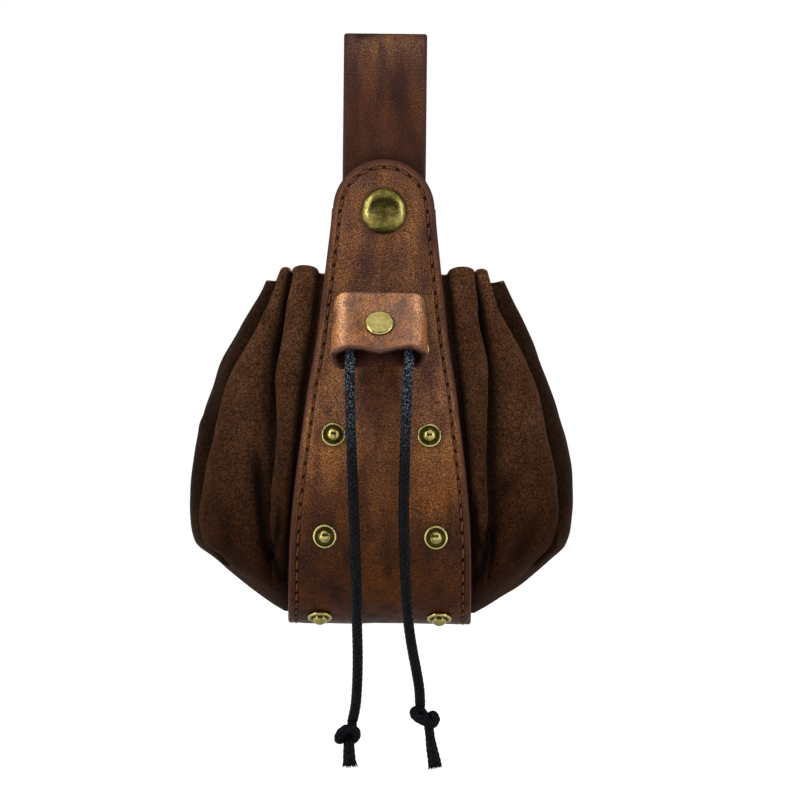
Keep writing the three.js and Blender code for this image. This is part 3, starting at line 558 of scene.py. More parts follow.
# Sixteen levels from the rim to the foot. half is a share of the widest half width. crease is
# how far from the strap to the side the inner pleat lies, and ridge how far from there to the
# side the outer one does. puff, pleat and overlap scale the lines below them.
BAG_ROWS = {
    "down": [
        0, 0.04, 0.09, 0.15, 0.265, 0.371, 0.477, 0.583,
        0.68, 0.745, 0.797, 0.84, 0.885, 0.937, 0.974, 1,
    ],
    "half": [
        0.615, 0.648, 0.691, 0.745, 0.836, 0.904, 0.957, 0.991,
        1, 0.991, 0.962, 0.875, 0.782, 0.666, 0.572, 0.49,
    ],
    "crease": [
        0.52, 0.49, 0.46, 0.41, 0.367, 0.29, 0.235, 0.19,
        0.165, 0.17, 0.19, 0.227, 0.26, 0.35, 0.4, 0.5,
    ],
    "ridge": [
        0.42, 0.44, 0.46, 0.54, 0.66, 0.73, 0.742, 0.79,
        0.838, 0.86, 0.86, 0.86, 0.86, 0.84, 0.8, 0.75,
    ],
    "puff": [0.75, 0.85, 0.95, 1, 1, 1, 1, 1, 0.9, 0.75, 0.6, 0.45, 0.3, 0.1, 0, 0],
    "pleat": [0.85, 0.95, 1, 1, 0.85, 0.7, 0.56, 0.52, 0.5, 0.46, 0.36, 0.2, 0.1, 0, 0, 0],
    "overlap": [0.85, 0.95, 1, 1, 1, 1, 0.92, 0.8, 0.6, 0.4, 0.22, 0.1, 0, 0, 0, 0],
}
# Lines down each quarter of the bag, from its middle to its side. Each starts a share of the
# way between two of middle, strap, crease, ridge and side. aside moves it towards the side and
# out lifts it, in mm, and grows is the column that scales both. rim lowers its top, in mm.
BAG_LINES = [
    # from, share, grows, aside, out, rim
    ("middle", 0, "puff", 0, 0, 1.6),
    ("middle", 0.5, "puff", 0, 0, 1.6),
    ("middle", STRAP_FLAT, "puff", 0, -0.2, 1.6),
    ("strap", 0.05, "puff", 0, -1.5, 1.9),
    ("strap", 0.13, "puff", 0, -2.0, 1.9),
    ("strap", 0.21, "puff", 0.2, -1.5, 1.6),
    ("strap", 0.25, "puff", -0.2, 0.7, 0.2),
    ("strap", 0.42, "puff", 0, 2.3, -1.0),
    ("strap", 0.7, "puff", 0, 2.7, -1.3),
    ("strap", 0.88, "puff", 0, 2.3, -0.9),
    ("crease", 0.0, "pleat", -0.1, 1.4, -0.1),
    ("crease", 0.012, "pleat", 0.4, 0.2, 0.5),
    ("crease", 0.024, "pleat", 0.0, -1.2, 0.9),
    ("crease", 0.036, "pleat", -1.2, -2.4, 1.2),
    ("crease", 0.048, "pleat", -1.7, -3.9, 1.4),
    ("crease", 0.06, "pleat", -0.5, -5.0, 1.6),
    ("crease", 0.08, "pleat", 0.8, -4.3, 1.5),
    ("crease", 0.12, "pleat", 1.1, -2.7, 1.2),
    ("crease", 0.2, "pleat", 0.8, -1.0, 0.8),
    ("crease", 0.32, "puff", 0, 0.9, 0.1),
    ("crease", 0.46, "puff", 0, 2.1, -0.4),
    ("crease", 0.62, "puff", 0, 2.9, -0.5),
    ("crease", 0.78, "puff", 0, 3.1, -0.1),
    ("crease", 0.92, "puff", 0, 2.8, 0.6),
    ("ridge", 0.0, "overlap", -0.4, 1.7, 1.4),
    ("ridge", 0.014, "overlap", 0.0, 0.5, 2.1),
    ("ridge", 0.028, "overlap", -0.3, -0.9, 2.7),
    ("ridge", 0.042, "overlap", -1.9, -1.9, 3.1),
    ("ridge", 0.056, "overlap", -3.0, -3.1, 3.4),
    ("ridge", 0.08, "overlap", -1.9, -4.5, 3.8),
    ("ridge", 0.13, "overlap", 0.1, -4.5, 4.2),
    ("ridge", 0.26, "overlap", 0.4, -3.1, 4.6),
    ("ridge", 0.44, "overlap", 0.3, -1.6, 5.0),
    ("ridge", 0.64, "overlap", 0.2, -0.3, 4.9),
    ("ridge", 0.84, "puff", 0, 0.5, 4.5),
    ("side", 0, "puff", 0, 0.5, 4.3),
]
NEXT_STOP = {
    "middle": "strap",
    "strap": "crease",
    "crease": "ridge",
    "ridge": "side",
    "side": "side",
}
# The back's rim waves less and its pleats are lower. Where the bag is shallow, lines hardly rise.
BACK_RIM, BACK_PLEATS = 0.85, 0.9
SHALLOW_DEPTH, SHALLOW_RISE = 3, 0.3
# Folds pressed into the front, as lines of (across, drop), with depth and half width in mm. The
# first four hook in beside the strap's foot, two at each side, and the others are shallow dents.
LEFT_HOOK = [(-41.2, 134), (-39.9, 147), (-38.9, 157), (-37.7, 166.5), (-35.6, 172), (-31.6, 178)]
FRONT_FOLDS = [
    (LEFT_HOOK, 1.7, 2.0),
    ([(-33.6, 150), (-33.4, 158), (-34.3, 165), (-36.2, 171)], 1.3, 1.3),
    ([(31.2, 148), (31.0, 157), (32.2, 165), (34.4, 170)], 1.3, 1.3),
    ([(37.0, 156), (35.5, 162.5), (35.9, 168.8), (34, 172.7), (31.4, 177.4)], 1.6, 1.8),
    ([(-50, 96), (-54, 110), (-57, 124)], 0.9, 2.2),
    ([(45.5, 140), (41.5, 145)], 1.1, 4.5),
    ([(-48, 150), (-52, 160), (-50, 168)], 0.7, 3.5),
    ([(52, 152), (49, 162), (45, 170)], 0.8, 3.5),
]
BACK_FOLDS = [
    ([(38.5, 138), (37.0, 156), (34.0, 170)], 1.5, 2.0),
    ([(-44.0, 130), (-40.0, 150), (-36.0, 168)], 1.4, 2.2),
    ([(50, 150), (46, 160)], 0.9, 4.0),
]
FOLD_FADE = 12.0
# How high a fold's lips rise, as a share of its depth
FOLD_LIPS = 0.35
# Painted shade on the nap: a little everywhere, and more where it lies deeper, which is the recess
# beside the strap and the outermost pleat. Shares say where these end and start between two stops.
EVEN_SHADE = 0.12
OUTER_SHADE = 0.58
RECESS_ENDS, OUTER_PLEAT_STARTS = 0.22, 0.1
SHADE_DEPTH = 4
BAG_STEPS = 112
BETWEEN_LINES = 3
# Soft hills over the free suede: height, how far apart they are, and a seed
BAG_HILLS = [(0.55, 34, 3), (0.16, 14, 4)]


def curve_of(rows, column=1):
    """A smooth curve through a table's rows that never swings past them."""
    downs = np.array([row[0] for row in rows], float)
    values = np.array([row[column] for row in rows], float)
    slopes = np.diff(values) / np.diff(downs)
    before, after = np.r_[slopes[0], slopes], np.r_[slopes, slopes[-1]]
    same = before * after > 0
    tangents = np.zeros(len(rows))
    tangents[same] = 2 * before[same] * after[same] / (before[same] + after[same])

    def value(down):
        x = np.clip(down, 0, 1)
        k = np.clip(np.searchsorted(downs, x) - 1, 0, len(rows) - 2)
        span = downs[k + 1] - downs[k]
        t = (x - downs[k]) / span
        rise = 3 * t**2 - 2 * t**3
        start = (t**3 - 2 * t**2 + t) * span * tangents[k]
        end = (t**3 - t**2) * span * tangents[k + 1]
        return values[k] * (1 - rise) + values[k + 1] * rise + start + end

    return value


front_out = curve_of(FRONT_PROFILE)
back_out = curve_of(BACK_PROFILE)
width_share = curve_of(STRAP_WIDTHS)


def front_face(drop):
    out = front_out((drop - TONGUE_DROP) / (BELLY_DROP - TONGUE_DROP))
    return TONGUE_REACH + (FRONT_REACH - TONGUE_REACH) * out


def back_face(drop):
    out = back_out((drop - BACK_END_DROP) / (BELLY_DROP - BACK_END_DROP))
    return BACK_END_REACH + (BACK_REACH - BACK_END_REACH) * out


def strap_half(drop):
    share = width_share((drop - TONGUE_DROP) / (FOOT_DROP - TONGUE_DROP))
    return TONGUE_HALF + (FOOT_HALF - TONGUE_HALF) * share


def bag_depth(face, drop):
    """How far out the strap lets the bag reach in front of the origin or behind it."""
    reach = FRONT_REACH if face < 0 else BACK_REACH
    flat = (front_face(drop) if face < 0 else back_face(drop)) - BAG_INSET
    share = np.clip((drop - BELLY_DROP) / (BOTTOM_DEPTH - BAG_INSET), 0, 1)
    return np.where(drop > BELLY_DROP, (reach - BAG_INSET) * np.sqrt(1 - share**2), flat)


def cloudy(points, size, seed):
    """Smooth random heights between -1 and 1 with hills about size millimetres apart."""
    chance = np.random.default_rng(seed)
    total = np.zeros(points.shape[:-1])
    waves = 14
    for _ in range(waves):
        direction = unit(chance.normal(size=3)) * 2 * np.pi / (size * chance.uniform(0.7, 1.5))
        total += np.sin(points @ direction + chance.uniform(0, 2 * np.pi))
    return total / math.sqrt(waves)


def press(points, outwards, folds, face, painted_shade_out):
    """Sinks the folds of one face into the grid and raises the painted shade of the points that
    lie in one.
    """
    flat = np.stack([points[..., 0], -points[..., 2]], axis=-1)
    on_face = points[..., 1] * face > 0
    fold_shade = np.zeros(on_face.shape)
    for line, depth, half in folds:
        line = np.array(line, float)
        nearest = np.full(on_face.shape, 1e9)
        for a, b in zip(line[:-1], line[1:]):
            share = np.clip(((flat - a) @ (b - a)) / ((b - a) @ (b - a)), 0, 1)
            spot = a + share[..., None] * (b - a)
            nearest = np.minimum(nearest, np.linalg.norm(flat - spot, axis=-1))
        fade = np.clip((flat[..., 1] - line[0][1] + 3) / FOLD_FADE, 0, 1)
        hollow = fade * np.exp(-((nearest / half) ** 2))
        lips = fade * np.exp(-(((nearest - 2 * half) / (1.2 * half)) ** 2))
        points += (on_face * depth * (FOLD_LIPS * lips - hollow))[..., None] * outwards
        fold_shade = np.maximum(fold_shade, on_face * hollow * depth / 2)
    np.maximum(painted_shade_out, fold_shade, out=painted_shade_out)


down_curves = {
    column: curve_of(list(zip(BAG_ROWS["down"], BAG_ROWS[column])))
    for column in BAG_ROWS
    if column != "down"
}


def bag_rings(downs):
    """Rings of points round the bag at shares of the way down, and the painted shade of each."""
    at = {column: curve(downs) for column, curve in down_curves.items()}
    columns, painted_shades = [], []
    quarters = [(1, -1, 1), (1, 1, -1), (-1, 1, 1), (-1, -1, -1)]
    for side, face, order in quarters:
        rim_share, pleat_share = (1, 1) if face < 0 else (BACK_RIM, BACK_PLEATS)
        # Each quarter leaves its last line to the next one
        for start, share, grows, aside, out, rim in BAG_LINES[::order][:-1]:
            lowered = rim * rim_share * (1 - downs) ** 4
            drop = RIM_DROP + (BAG_FOOT_DROP - RIM_DROP) * downs + lowered
            half = BAG_HALF * at["half"]
            strap = strap_half(drop)
            crease = strap + (half - strap) * at["crease"]
            stops = {
                "middle": 0 * half,
                "strap": strap,
                "crease": crease,
                "ridge": crease + (half - crease) * at["ridge"],
                "side": half,
            }
            begin, end = stops[start], stops[NEXT_STOP[start]]
            x = begin + (end - begin) * share
            flat = STRAP_FLAT * strap
            across = np.clip((x - flat) / (half - flat), 0, 1)
            along = np.sqrt(np.clip(1 - across**2, 0, 1))
            depth = bag_depth(face, drop)
            nx, ny = across / (half - flat), along / np.maximum(depth, 1)
            long = np.maximum(np.hypot(nx, ny), 1e-9)
            nx, ny = nx / long, ny / long
            growth = at[grows] * pleat_share
            lift = out * growth * np.where(depth < SHALLOW_DEPTH, SHALLOW_RISE, 1)
            slide = aside * growth
            px = x + lift * nx + slide * ny
            py = face * (depth * along + lift * ny - slide * nx)
            columns.append(np.stack([side * px, py, -drop], axis=-1))
            in_recess = start == "strap" and share < RECESS_ENDS
            outermost = start == "side" or (start == "ridge" and share > OUTER_PLEAT_STARTS)
            shade = OUTER_SHADE * at["overlap"] if in_recess or outermost else 0
            fold_shade = np.maximum(np.clip(-out * growth / SHADE_DEPTH, 0, 1), shade)
            painted_shades.append(EVEN_SHADE + (1 - EVEN_SHADE) * fold_shade)
    return np.stack(columns, axis=1), np.stack(painted_shades, axis=1)


def between(columns, steps):
    """Fills in a smooth closed ring between its control columns."""
    before, after, beyond = (np.roll(columns, k, axis=1) for k in (1, -1, -2))
    filled = []
    for step in range(steps):
        t = step / steps
        filled.append(
            ((1 - t) ** 3 * before + (3 * t**3 - 6 * t**2 + 4) * columns) / 6
            + ((-3 * t**3 + 3 * t**2 + 3 * t + 1) * after + t**3 * beyond) / 6
        )
    mixed = np.stack(filled, axis=2)
    return mixed.reshape(columns.shape[0], -1, *columns.shape[2:])


def suede_look(name, light):
    """Brushed suede: the nap lies in patches, with painted shade in the folds, the recess and under
    the pleats, and painted light down the bag, paler near the rim and darker towards the bottom.
    """
    look = Look(name, 0.92, 0.03)
    look.shader.inputs["Sheen Weight"].default_value = 0.05
    look.shader.inputs["Sheen Roughness"].default_value = 0.45
    look.shader.inputs["Sheen Tint"].default_value = (0.62, 0.42, 0.3, 1)
    patches = look.noise(9, 6, (1, 1, 0.6))
    nap = look.noise(1.3, 4)
    hairs = look.noise(0.48, 2)
    browns = [
        (0.3, (0.036, 0.014, 0.006)),
        (0.52, (0.05, 0.0203, 0.009)),
        (0.75, (0.066, 0.0286, 0.0136)),
    ]
    colour = look.ramp(patches, [(at, tuple(light * part for part in tone)) for at, tone in browns])
    brushed = look.ramp(nap, [(0.28, 0.5), (0.5, 1.0), (0.72, 1.5)])
    colour = look.blend(0.7, colour, brushed, "MULTIPLY")
    fibres = look.ramp(hairs, [(0.3, 0.2), (0.5, 0.95), (0.7, 2.0)])
    colour = look.blend(1.0, colour, fibres, "MULTIPLY")
    # Painted light down the bag: paler near the rim and darker towards the bottom, where the bag
    # turns away from the light above
    wear_and_painted_light = look.by_drop([
        (70, 1.4),
        (95, 1.38),
        (125, 1.05),
        (150, (0.7, 0.63, 0.55)),
        (168, (0.48, 0.36, 0.26)),
        (189, (0.3, 0.14, 0.05)),
    ])
    colour = look.blend(1.0, colour, wear_and_painted_light, "MULTIPLY")
    # Painted shade: darker the further a point lies in a fold, in the recess or under a pleat
    painted_fold_shade = look.attribute("painted_fold_shade")
    hollow = look.ramp(painted_fold_shade, [(0.0, 1.0), (0.13, 0.7), (0.5, 0.25), (1, 0.08)])
    look.colour(look.blend(1.0, colour, hollow, "MULTIPLY"))
    look.normal(look.relief(hairs, 0.22, look.relief(nap, 0.4, look.relief(patches, 0.5))))
    return look.material


def two_toned_look(name, roughness, shine, patches, dark, pale, bumps=None):
    """A finish with dark and pale patches of (grain, detail) and bumps of (grain, detail,
    depth)."""
    look = Look(name, roughness, shine)
    look.colour(look.ramp(look.noise(*patches), [(0.3, dark), (0.7, pale)]))
    if bumps:
        grain, detail, depth = bumps
        look.normal(look.relief(look.noise(grain, detail), depth))
    return look.material


def keep_values(piece, name, values):
    """Keeps a number for each point of a piece, which its material reads."""
    kept = piece.data.attributes.new(name, "FLOAT", "POINT")
    kept.data.foreach_set("value", np.asarray(values, np.float32))


bag_controls, bag_painted_shade = bag_rings(np.linspace(0, 0.9985, BAG_STEPS))
bag_grid = between(bag_controls, BETWEEN_LINES)
bag_painted_shade = between(bag_painted_shade[..., None], BETWEEN_LINES)[..., 0]
ring_ahead = np.roll(bag_grid, -1, axis=1) - np.roll(bag_grid, 1, axis=1)
ring_down = np.gradient(bag_grid, axis=0)
bag_out = unit(np.cross(ring_down, ring_ahead))
free = np.clip((np.abs(bag_grid[..., 0]) - strap_half(-bag_grid[..., 2])) / 6, 0, 1)
softness = free * np.clip((BAG_FOOT_DROP + bag_grid[..., 2]) / 8, 0, 1)
hills = sum(height * cloudy(bag_grid, size, seed) for height, size, seed in BAG_HILLS)
bag_grid += (softness * hills)[..., None] * bag_out
press(bag_grid, bag_out * softness[..., None], FRONT_FOLDS, -1, bag_painted_shade)
press(bag_grid, bag_out * softness[..., None], BACK_FOLDS, 1, bag_painted_shade)
bag_rows, bag_columns = bag_grid.shape[:2]
bag_faces = [tuple(reversed(face)) for face in grid_faces(bag_rows, bag_columns)]
foot, foot_middle = (bag_rows - 1) * bag_columns, bag_rows * bag_columns
for c in range(bag_columns):
    bag_faces.append((foot + c, foot + (c + 1) % bag_columns, foot_middle))
bag = add_piece(
    "bag_of_suede",
    np.vstack([bag_grid.reshape(-1, 3), [[0, 0, -BAG_FOOT_DROP]]]),
    bag_faces,
    suede_look("suede_brown", 1.0),
    # The inside is the same suede, made darker as painted shade
    suede_look("suede_inside_painted_shade", 0.7),
    two_toned_look(
        "suede_cut_edge",
        0.9,
        0.5,
        (1.5, 4),
        (0.11, 0.055, 0.026),
        (0.25, 0.14, 0.075),
        (0.4, 3, 0.2),
    ),
)
keep_values(bag, "painted_fold_shade", np.r_[bag_painted_shade.reshape(-1), 0])
thickness = bag.modifiers.new("thickness", "SOLIDIFY")
thickness.thickness = BAG_WALL * MM
thickness.offset = -1
thickness.material_offset = 1
thickness.material_offset_rim = 2
thickness.use_rim = True
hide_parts("suede_bag")
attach(bag, "root")

# Strap
# One strap of 3 mm waxed leather: the round-ended tongue, the front, the band under the bag and
# the band up the back. Its edges are bevelled and burnished, and a stitch line runs all round.
STITCH_INSET = 2.7
STITCH_PITCH = 4.55
EDGE_ROUND = 0.9
# Lines along the strip at each side, by distance from its edge, and how many more between them
EDGE_DISTANCES = [0, 0.08, 0.22, 0.45, 0.75, 1.1, 1.6, 2.0, 2.3, 2.5, 2.7, 2.9, 3.1, 3.5, 4.4, 6.2]
MIDDLE_COLUMNS = 12
GROOVE_DEPTH = 0.4
GROOVE_HALF = 0.45
# The burnished edge fades out between these distances
EDGE_DARK = (0.3, 1.6)
# The face is a little uneven, away from the edge: height of the hills, how far apart, seed
STRAP_HILLS = [(0.12, 17, 21), (0.06, 6, 22)]
EVEN_EDGE, UNEVEN_FROM = 3.6, 5.6
# Painted shadow of the slider and the cords on the strap below the slider: half width, and how
# much at each drop
SLIDER_SHADOW_HALF = 8.0
SLIDER_SHADOW_DROPS, SLIDER_SHADOW_SHARES = [99, 104, 122, 150, 176], [0, 1, 0.9, 0.25, 0]


def with_outward(path):
    """Directions out of the outer face at each stop of a line in the YZ plane."""
    run = unit(np.gradient(path, axis=0))
    return np.stack([run[:, 1], -run[:, 0]], axis=1)


def strap_line():
    """The strap's outer face from the tongue's tip down, under the bag and up the back."""
    drops = np.arange(TONGUE_DROP, BELLY_DROP, 1.0)
    front = np.stack([-front_face(drops), -drops], axis=1)
    turns = np.linspace(0, np.pi, 90)
    reach = np.where(turns < np.pi / 2, FRONT_REACH, BACK_REACH)
    under = np.stack([-reach * np.cos(turns), -BELLY_DROP - BOTTOM_DEPTH * np.sin(turns)], axis=1)
    drops = np.arange(BELLY_DROP - 1.0, BACK_END_DROP - 0.5, -1.0)
    back = np.stack([back_face(drops), -drops], axis=1)
    return np.vstack([front, under, back])


def place_on_strip(line, across, along, height):
    """Places on a bent strip, from its width, its length and a height over its outer face."""
    stops, outward = distances_along(line), with_outward(line)
    y, z = (np.interp(along, stops, line[:, k]) for k in (0, 1))
    ny, nz = (np.interp(along, stops, outward[:, k]) for k in (0, 1))
    return np.stack([across, y + ny * height, z + nz * height], axis=-1)


def inwards(outline):
    """Directions from a flat outline into the leather."""
    run = unit(np.gradient(outline, axis=0))
    return np.stack([-run[:, 1], run[:, 0]], axis=1)


def close_up(piece, merged_within=0.0):
    """Joins points that meet and turns all faces outwards."""
    shape = bmesh.new()
    shape.from_mesh(piece.data)
    if merged_within:
        bmesh.ops.remove_doubles(shape, verts=shape.verts, dist=merged_within * MM)
    bmesh.ops.recalc_face_normals(shape, faces=shape.faces)
    shape.to_mesh(piece.data)
    shape.free()
    piece.data.shade_smooth()


def leather_strip(name, line, outline, distances, thickness, material, groove=0.0, hills=()):
    """A strip of leather bent along a line. Its outline is (half width, place along the line)
    from one end's middle round one side to the other end's middle."""
    depths = np.array(distances)
    right = outline[:, None, :] + depths[None, :, None] * inwards(outline)[:, None, :]
    right[..., 0] = np.maximum(right[..., 0], 0)
    inner = right[:, -1, :]
    shares = 1 - 2 * np.arange(1, MIDDLE_COLUMNS + 1) / (MIDDLE_COLUMNS + 1)
    middle = np.stack(
        [inner[:, None, 0] * shares, np.repeat(inner[:, None, 1], MIDDLE_COLUMNS, axis=1)], axis=2
    )
    left = right[:, ::-1, :] * np.array([-1, 1])
    flat = np.concatenate([right, middle, left], axis=1)
    from_edge = np.concatenate([depths, np.full(MIDDLE_COLUMNS, depths[-1]), depths[::-1]])
    rounding = np.clip(1 - from_edge / EDGE_ROUND, 0, 1)
    sunk = EDGE_ROUND * (1 - np.sqrt(1 - rounding**2))
    sewn_in = groove * np.exp(-(((from_edge - STITCH_INSET) / GROOVE_HALF) ** 2))

    def bent(height):
        return place_on_strip(line, flat[..., 0], flat[..., 1], height)

    face_points = bent(-sunk - sewn_in)
    if hills:
        uneven = sum(height * cloudy(face_points, size, seed) for height, size, seed in hills)
        uneven *= np.clip((from_edge - EVEN_EDGE) / (UNEVEN_FROM - EVEN_EDGE), 0, 1)
        face_points = bent(uneven - sunk - sewn_in)
    back_points = bent(sunk - thickness)
    rows, columns = flat.shape[:2]
    back_start = rows * columns
    faces = [tuple(reversed(face)) for face in grid_faces(rows, columns, closed=False)]
    faces += grid_faces(rows, columns, back_start, closed=False)
    for r in range(rows - 1):
        for c, turn_over in ((0, False), (columns - 1, True)):
            a, b = r * columns + c, (r + 1) * columns + c
            wall = (a, b, b + back_start, a + back_start)
            faces.append(tuple(reversed(wall)) if turn_over else wall)
    points = np.vstack([face_points.reshape(-1, 3), back_points.reshape(-1, 3)])
    strip = add_piece(name, points, faces, material)
    by_height = np.interp(face_points[..., 2], -np.array(SLIDER_SHADOW_DROPS[::-1]), SLIDER_SHADOW_SHARES[::-1])
    in_front = face_points[..., 1] < 0
    # Painted shadow of the slider and the cords, down the middle of the strap's front below the
    # slider
    painted_light = np.exp(-((flat[..., 0] / SLIDER_SHADOW_HALF) ** 4)) * by_height * in_front
    keep_values(strip, "from_edge", np.tile(from_edge, 2 * rows))
    keep_values(strip, "painted_light", np.tile(painted_light.reshape(-1), 2))
    close_up(strip, 0.01)
    return strip


def leather_look(name, tones, edge, shine, roughness=0.5, groove=None, painted_light_colour=(0.36, 0.3, 0.28)):
    """Waxed leather: browns that change down its length, purple-dark and orange mottling, soft
    streaks, fine grain and dark burnished edges, with painted light multiplied in: painted shadow
    below the slider on the strap, painted highlight on the slider's tunnels, and painted shade in
    the stitch groove. tones are (drop in millimetres, colour)."""
    look = Look(name, roughness, shine)
    clouds = look.noise(24, 5, (1, 1, 0.6))
    patches = look.noise(11, 5, (1, 1, 0.7))
    streak = look.noise(6, 4, (1, 1, 0.2))
    pores = look.noise(0.75, 3)
    grain = look.noise(0.36, 2)
    colour = look.by_drop(tones)
    layers = [
        (0.8, clouds, [(0.33, (0.6, 0.52, 0.55)), (0.5, 1.0), (0.67, (1.4, 1.4, 1.15))]),
        (0.65, patches, [(0.35, (0.66, 0.58, 0.74)), (0.5, 1.0), (0.65, (1.4, 1.35, 0.95))]),
        (0.8, streak, [(0.36, (0.5, 0.45, 0.55)), (0.5, 1.0), (0.64, (1.3, 1.25, 1.0))]),
        (0.35, pores, [(0.3, 0.6), (0.5, 1.0), (0.7, 1.4)]),
        (1.0, grain, [(0.3, 0.1), (0.5, 0.9), (0.7, 2.5)]),
    ]
    for share, height, stops in layers:
        colour = look.blend(share, colour, look.ramp(height, stops), "MULTIPLY")
    from_edge = look.attribute("from_edge")
    # Painted light: painted shadow on the strap below the slider, painted highlight on the slider's
    # tunnels
    painted_light = look.ramp(look.attribute("painted_light"), [(0, 1.0), (1, painted_light_colour)])
    colour = look.blend(1.0, colour, painted_light, "MULTIPLY")
    if groove:
        beside = look.sums("ABSOLUTE", look.sums("SUBTRACT", from_edge, STITCH_INSET), 0.0)
        beside = look.sums("DIVIDE", beside, groove)
        # Painted shade in the stitch groove, darkest along the stitch line
        groove_shade = look.ramp(beside, [(0.0, 0.28), (0.45, 0.4), (1.0, 1.0)])
        colour = look.blend(1.0, colour, groove_shade, "MULTIPLY")
    wobble = look.sums("MULTIPLY", look.sums("SUBTRACT", look.noise(2.5, 3), 0.5), 0.8)
    limits = {
        "Value": look.sums("ADD", from_edge, wobble),
        "From Min": EDGE_DARK[0],
        "From Max": EDGE_DARK[1],
    }
    look.colour(look.blend(look.node("ShaderNodeMapRange", limits).outputs[0], edge, colour))
    smooth, rough = roughness - 0.08, roughness + 0.12
    look.rough(look.ramp(look.noise(3, 4), [(0.3, smooth), (0.7, rough)]))
    look.normal(look.relief(grain, 0.06, look.relief(pores, 0.16, look.relief(clouds, 0.25))))
    return look.material


strap_path = strap_line()
strap_length = distances_along(strap_path)[-1]
strap_stops = distances_along(strap_path)
tip_turns = np.radians(np.arange(0, 90, 4))
tip = np.stack([TONGUE_HALF * np.sin(tip_turns), TONGUE_HALF * (1 - np.cos(tip_turns))], axis=1)
side_stops = np.arange(TONGUE_HALF, strap_length - TONGUE_HALF, 1.2)
side_drops = np.interp(side_stops, strap_stops, -strap_path[:, 1])
strap_sides = np.stack([strap_half(side_drops), side_stops], axis=1)
other_tip = (tip * np.array([1, -1]) + np.array([0, strap_length]))[::-1]
strap_outline = np.vstack([tip, strap_sides, other_tip])
# The browns by drop are partly the leather's own tone and partly painted shade: they darken steeply
# where the strap turns down under the bag.
strap_brown = leather_look(
    "strap_brown",
    tones=[
        (38, (0.09, 0.038, 0.0185)),
        (88, (0.085, 0.034, 0.015)),
        (104, (0.14, 0.062, 0.031)),
        (128, (0.118, 0.0495, 0.0205)),
        (150, (0.08, 0.0275, 0.008)),
        (170, (0.033, 0.0098, 0.0016)),
        (193, (0.044, 0.011, 0.0006)),
    ],
    edge=(0.045, 0.015, 0.011),
    shine=0.1,
    # Width of the painted shade along the stitch groove
    groove=0.75,
)
strap = leather_strip(
    "strap_of_leather",
    strap_path,
    strap_outline,
    EDGE_DISTANCES,
    STRAP_LEATHER,
    strap_brown,
    GROOVE_DEPTH,
    STRAP_HILLS,
)
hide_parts("front_strap")
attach(strap, "root")

# Stitches
# Waxed rust-brown thread in the groove round the strap, sewn by hand with two needles, so each
# stitch leans a little and dives into an awl hole at both ends.
THREAD_RADIUS, THREAD_SIDES = 0.34, 6
STITCH_SLANT = 0.13
STITCH_SHAPE = np.array([
    # share of the way between two holes, height over the leather's face
    (0.1, -1.3),
    (0.13, -0.7),
    (0.19, -0.3),
    (0.32, -0.1),
    (0.5, -0.04),
    (0.68, -0.1),
    (0.81, -0.3),
    (0.87, -0.7),
    (0.9, -1.3),
])
# An awl hole's two rings: half its length, half its width, height over the face
HOLE_RINGS, HOLE_SIDES = [(0.9, 0.56, -0.08), (0.6, 0.34, -0.3)], 8

sewn = strap_outline + STITCH_INSET * inwards(strap_outline)
sewn = np.vstack([sewn, (sewn * np.array([-1, 1]))[::-1]])
sewn_stops = distances_along(sewn)
stitch_count = int(round(sewn_stops[-1] / STITCH_PITCH))


def on_seam(stop):
    """Where the stitch line is at a place along it, flat on the leather."""
    return [np.interp(stop, sewn_stops, sewn[:, k]) for k in (0, 1)]


def seam_heading(stop):
    """Which way the stitch line runs at a place along it."""
    before, after = (np.array(on_seam(stop + step)) for step in (-0.5, 0.5))
    return unit(after - before)


stitch_points, stitch_faces, hole_faces = [], [], []
shares, heights = STITCH_SHAPE.T
for number in range(stitch_count):
    across, along = on_seam((number + shares) * sewn_stops[-1] / stitch_count)
    ahead = unit(np.array([across[-1] - across[0], along[-1] - along[0]]))
    slant = STITCH_SLANT * (2 * shares - 1)
    thread = place_on_strip(
        strap_path, across - ahead[1] * slant, along + ahead[0] * slant, heights
    )
    forwards, beside, above = side_directions(thread)
    start = len(stitch_points)
    for k in range(len(thread)):
        for a in range(THREAD_SIDES):
            turn = 2 * np.pi * a / THREAD_SIDES
            around = math.cos(turn) * beside[k] + math.sin(turn) * above[k]
            stitch_points.append(thread[k] + THREAD_RADIUS * around)
    stitch_faces += grid_faces(len(thread), THREAD_SIDES, start, ends=True)
for number in range(stitch_count):
    stop = number * sewn_stops[-1] / stitch_count
    across, along = on_seam(stop)
    heading = seam_heading(stop)
    start = len(stitch_points)
    for long, wide, height in HOLE_RINGS:
        for a in range(HOLE_SIDES):
            turn = 2 * np.pi * a / HOLE_SIDES
            shift = long * math.cos(turn) * heading
            shift = shift + wide * math.sin(turn) * np.array([-heading[1], heading[0]])
            rim = place_on_strip(strap_path, across + shift[0], along + shift[1], height)
            stitch_points.append(rim)
    hole_faces += [tuple(reversed(face)) for face in grid_faces(2, HOLE_SIDES, start)]
    hole_faces.append(tuple(start + HOLE_SIDES + a for a in reversed(range(HOLE_SIDES))))
stitches = add_piece(
    "strap_stitches",
    stitch_points,
    stitch_faces + hole_faces,
    two_toned_look(
        "thread_rust",
        0.6,
        0.15,
        (0.8, 3),
        (0.035, 0.012, 0.006),
        (0.13, 0.045, 0.017),
        (0.2, 2, 0.05),
    ),
    # The holes are near black: painted shade in them
    two_toned_look("awl_holes_painted_shade", 0.9, 0.02, (0.5, 2), (0.003, 0.0015, 0.001), (0.01, 0.004, 0.003)),
)
stitch_materials = np.repeat([0, 1], [len(stitch_faces), len(hole_faces)])
stitches.data.polygons.foreach_set("material_index", stitch_materials.astype(np.int32))
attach(stitches, "root")

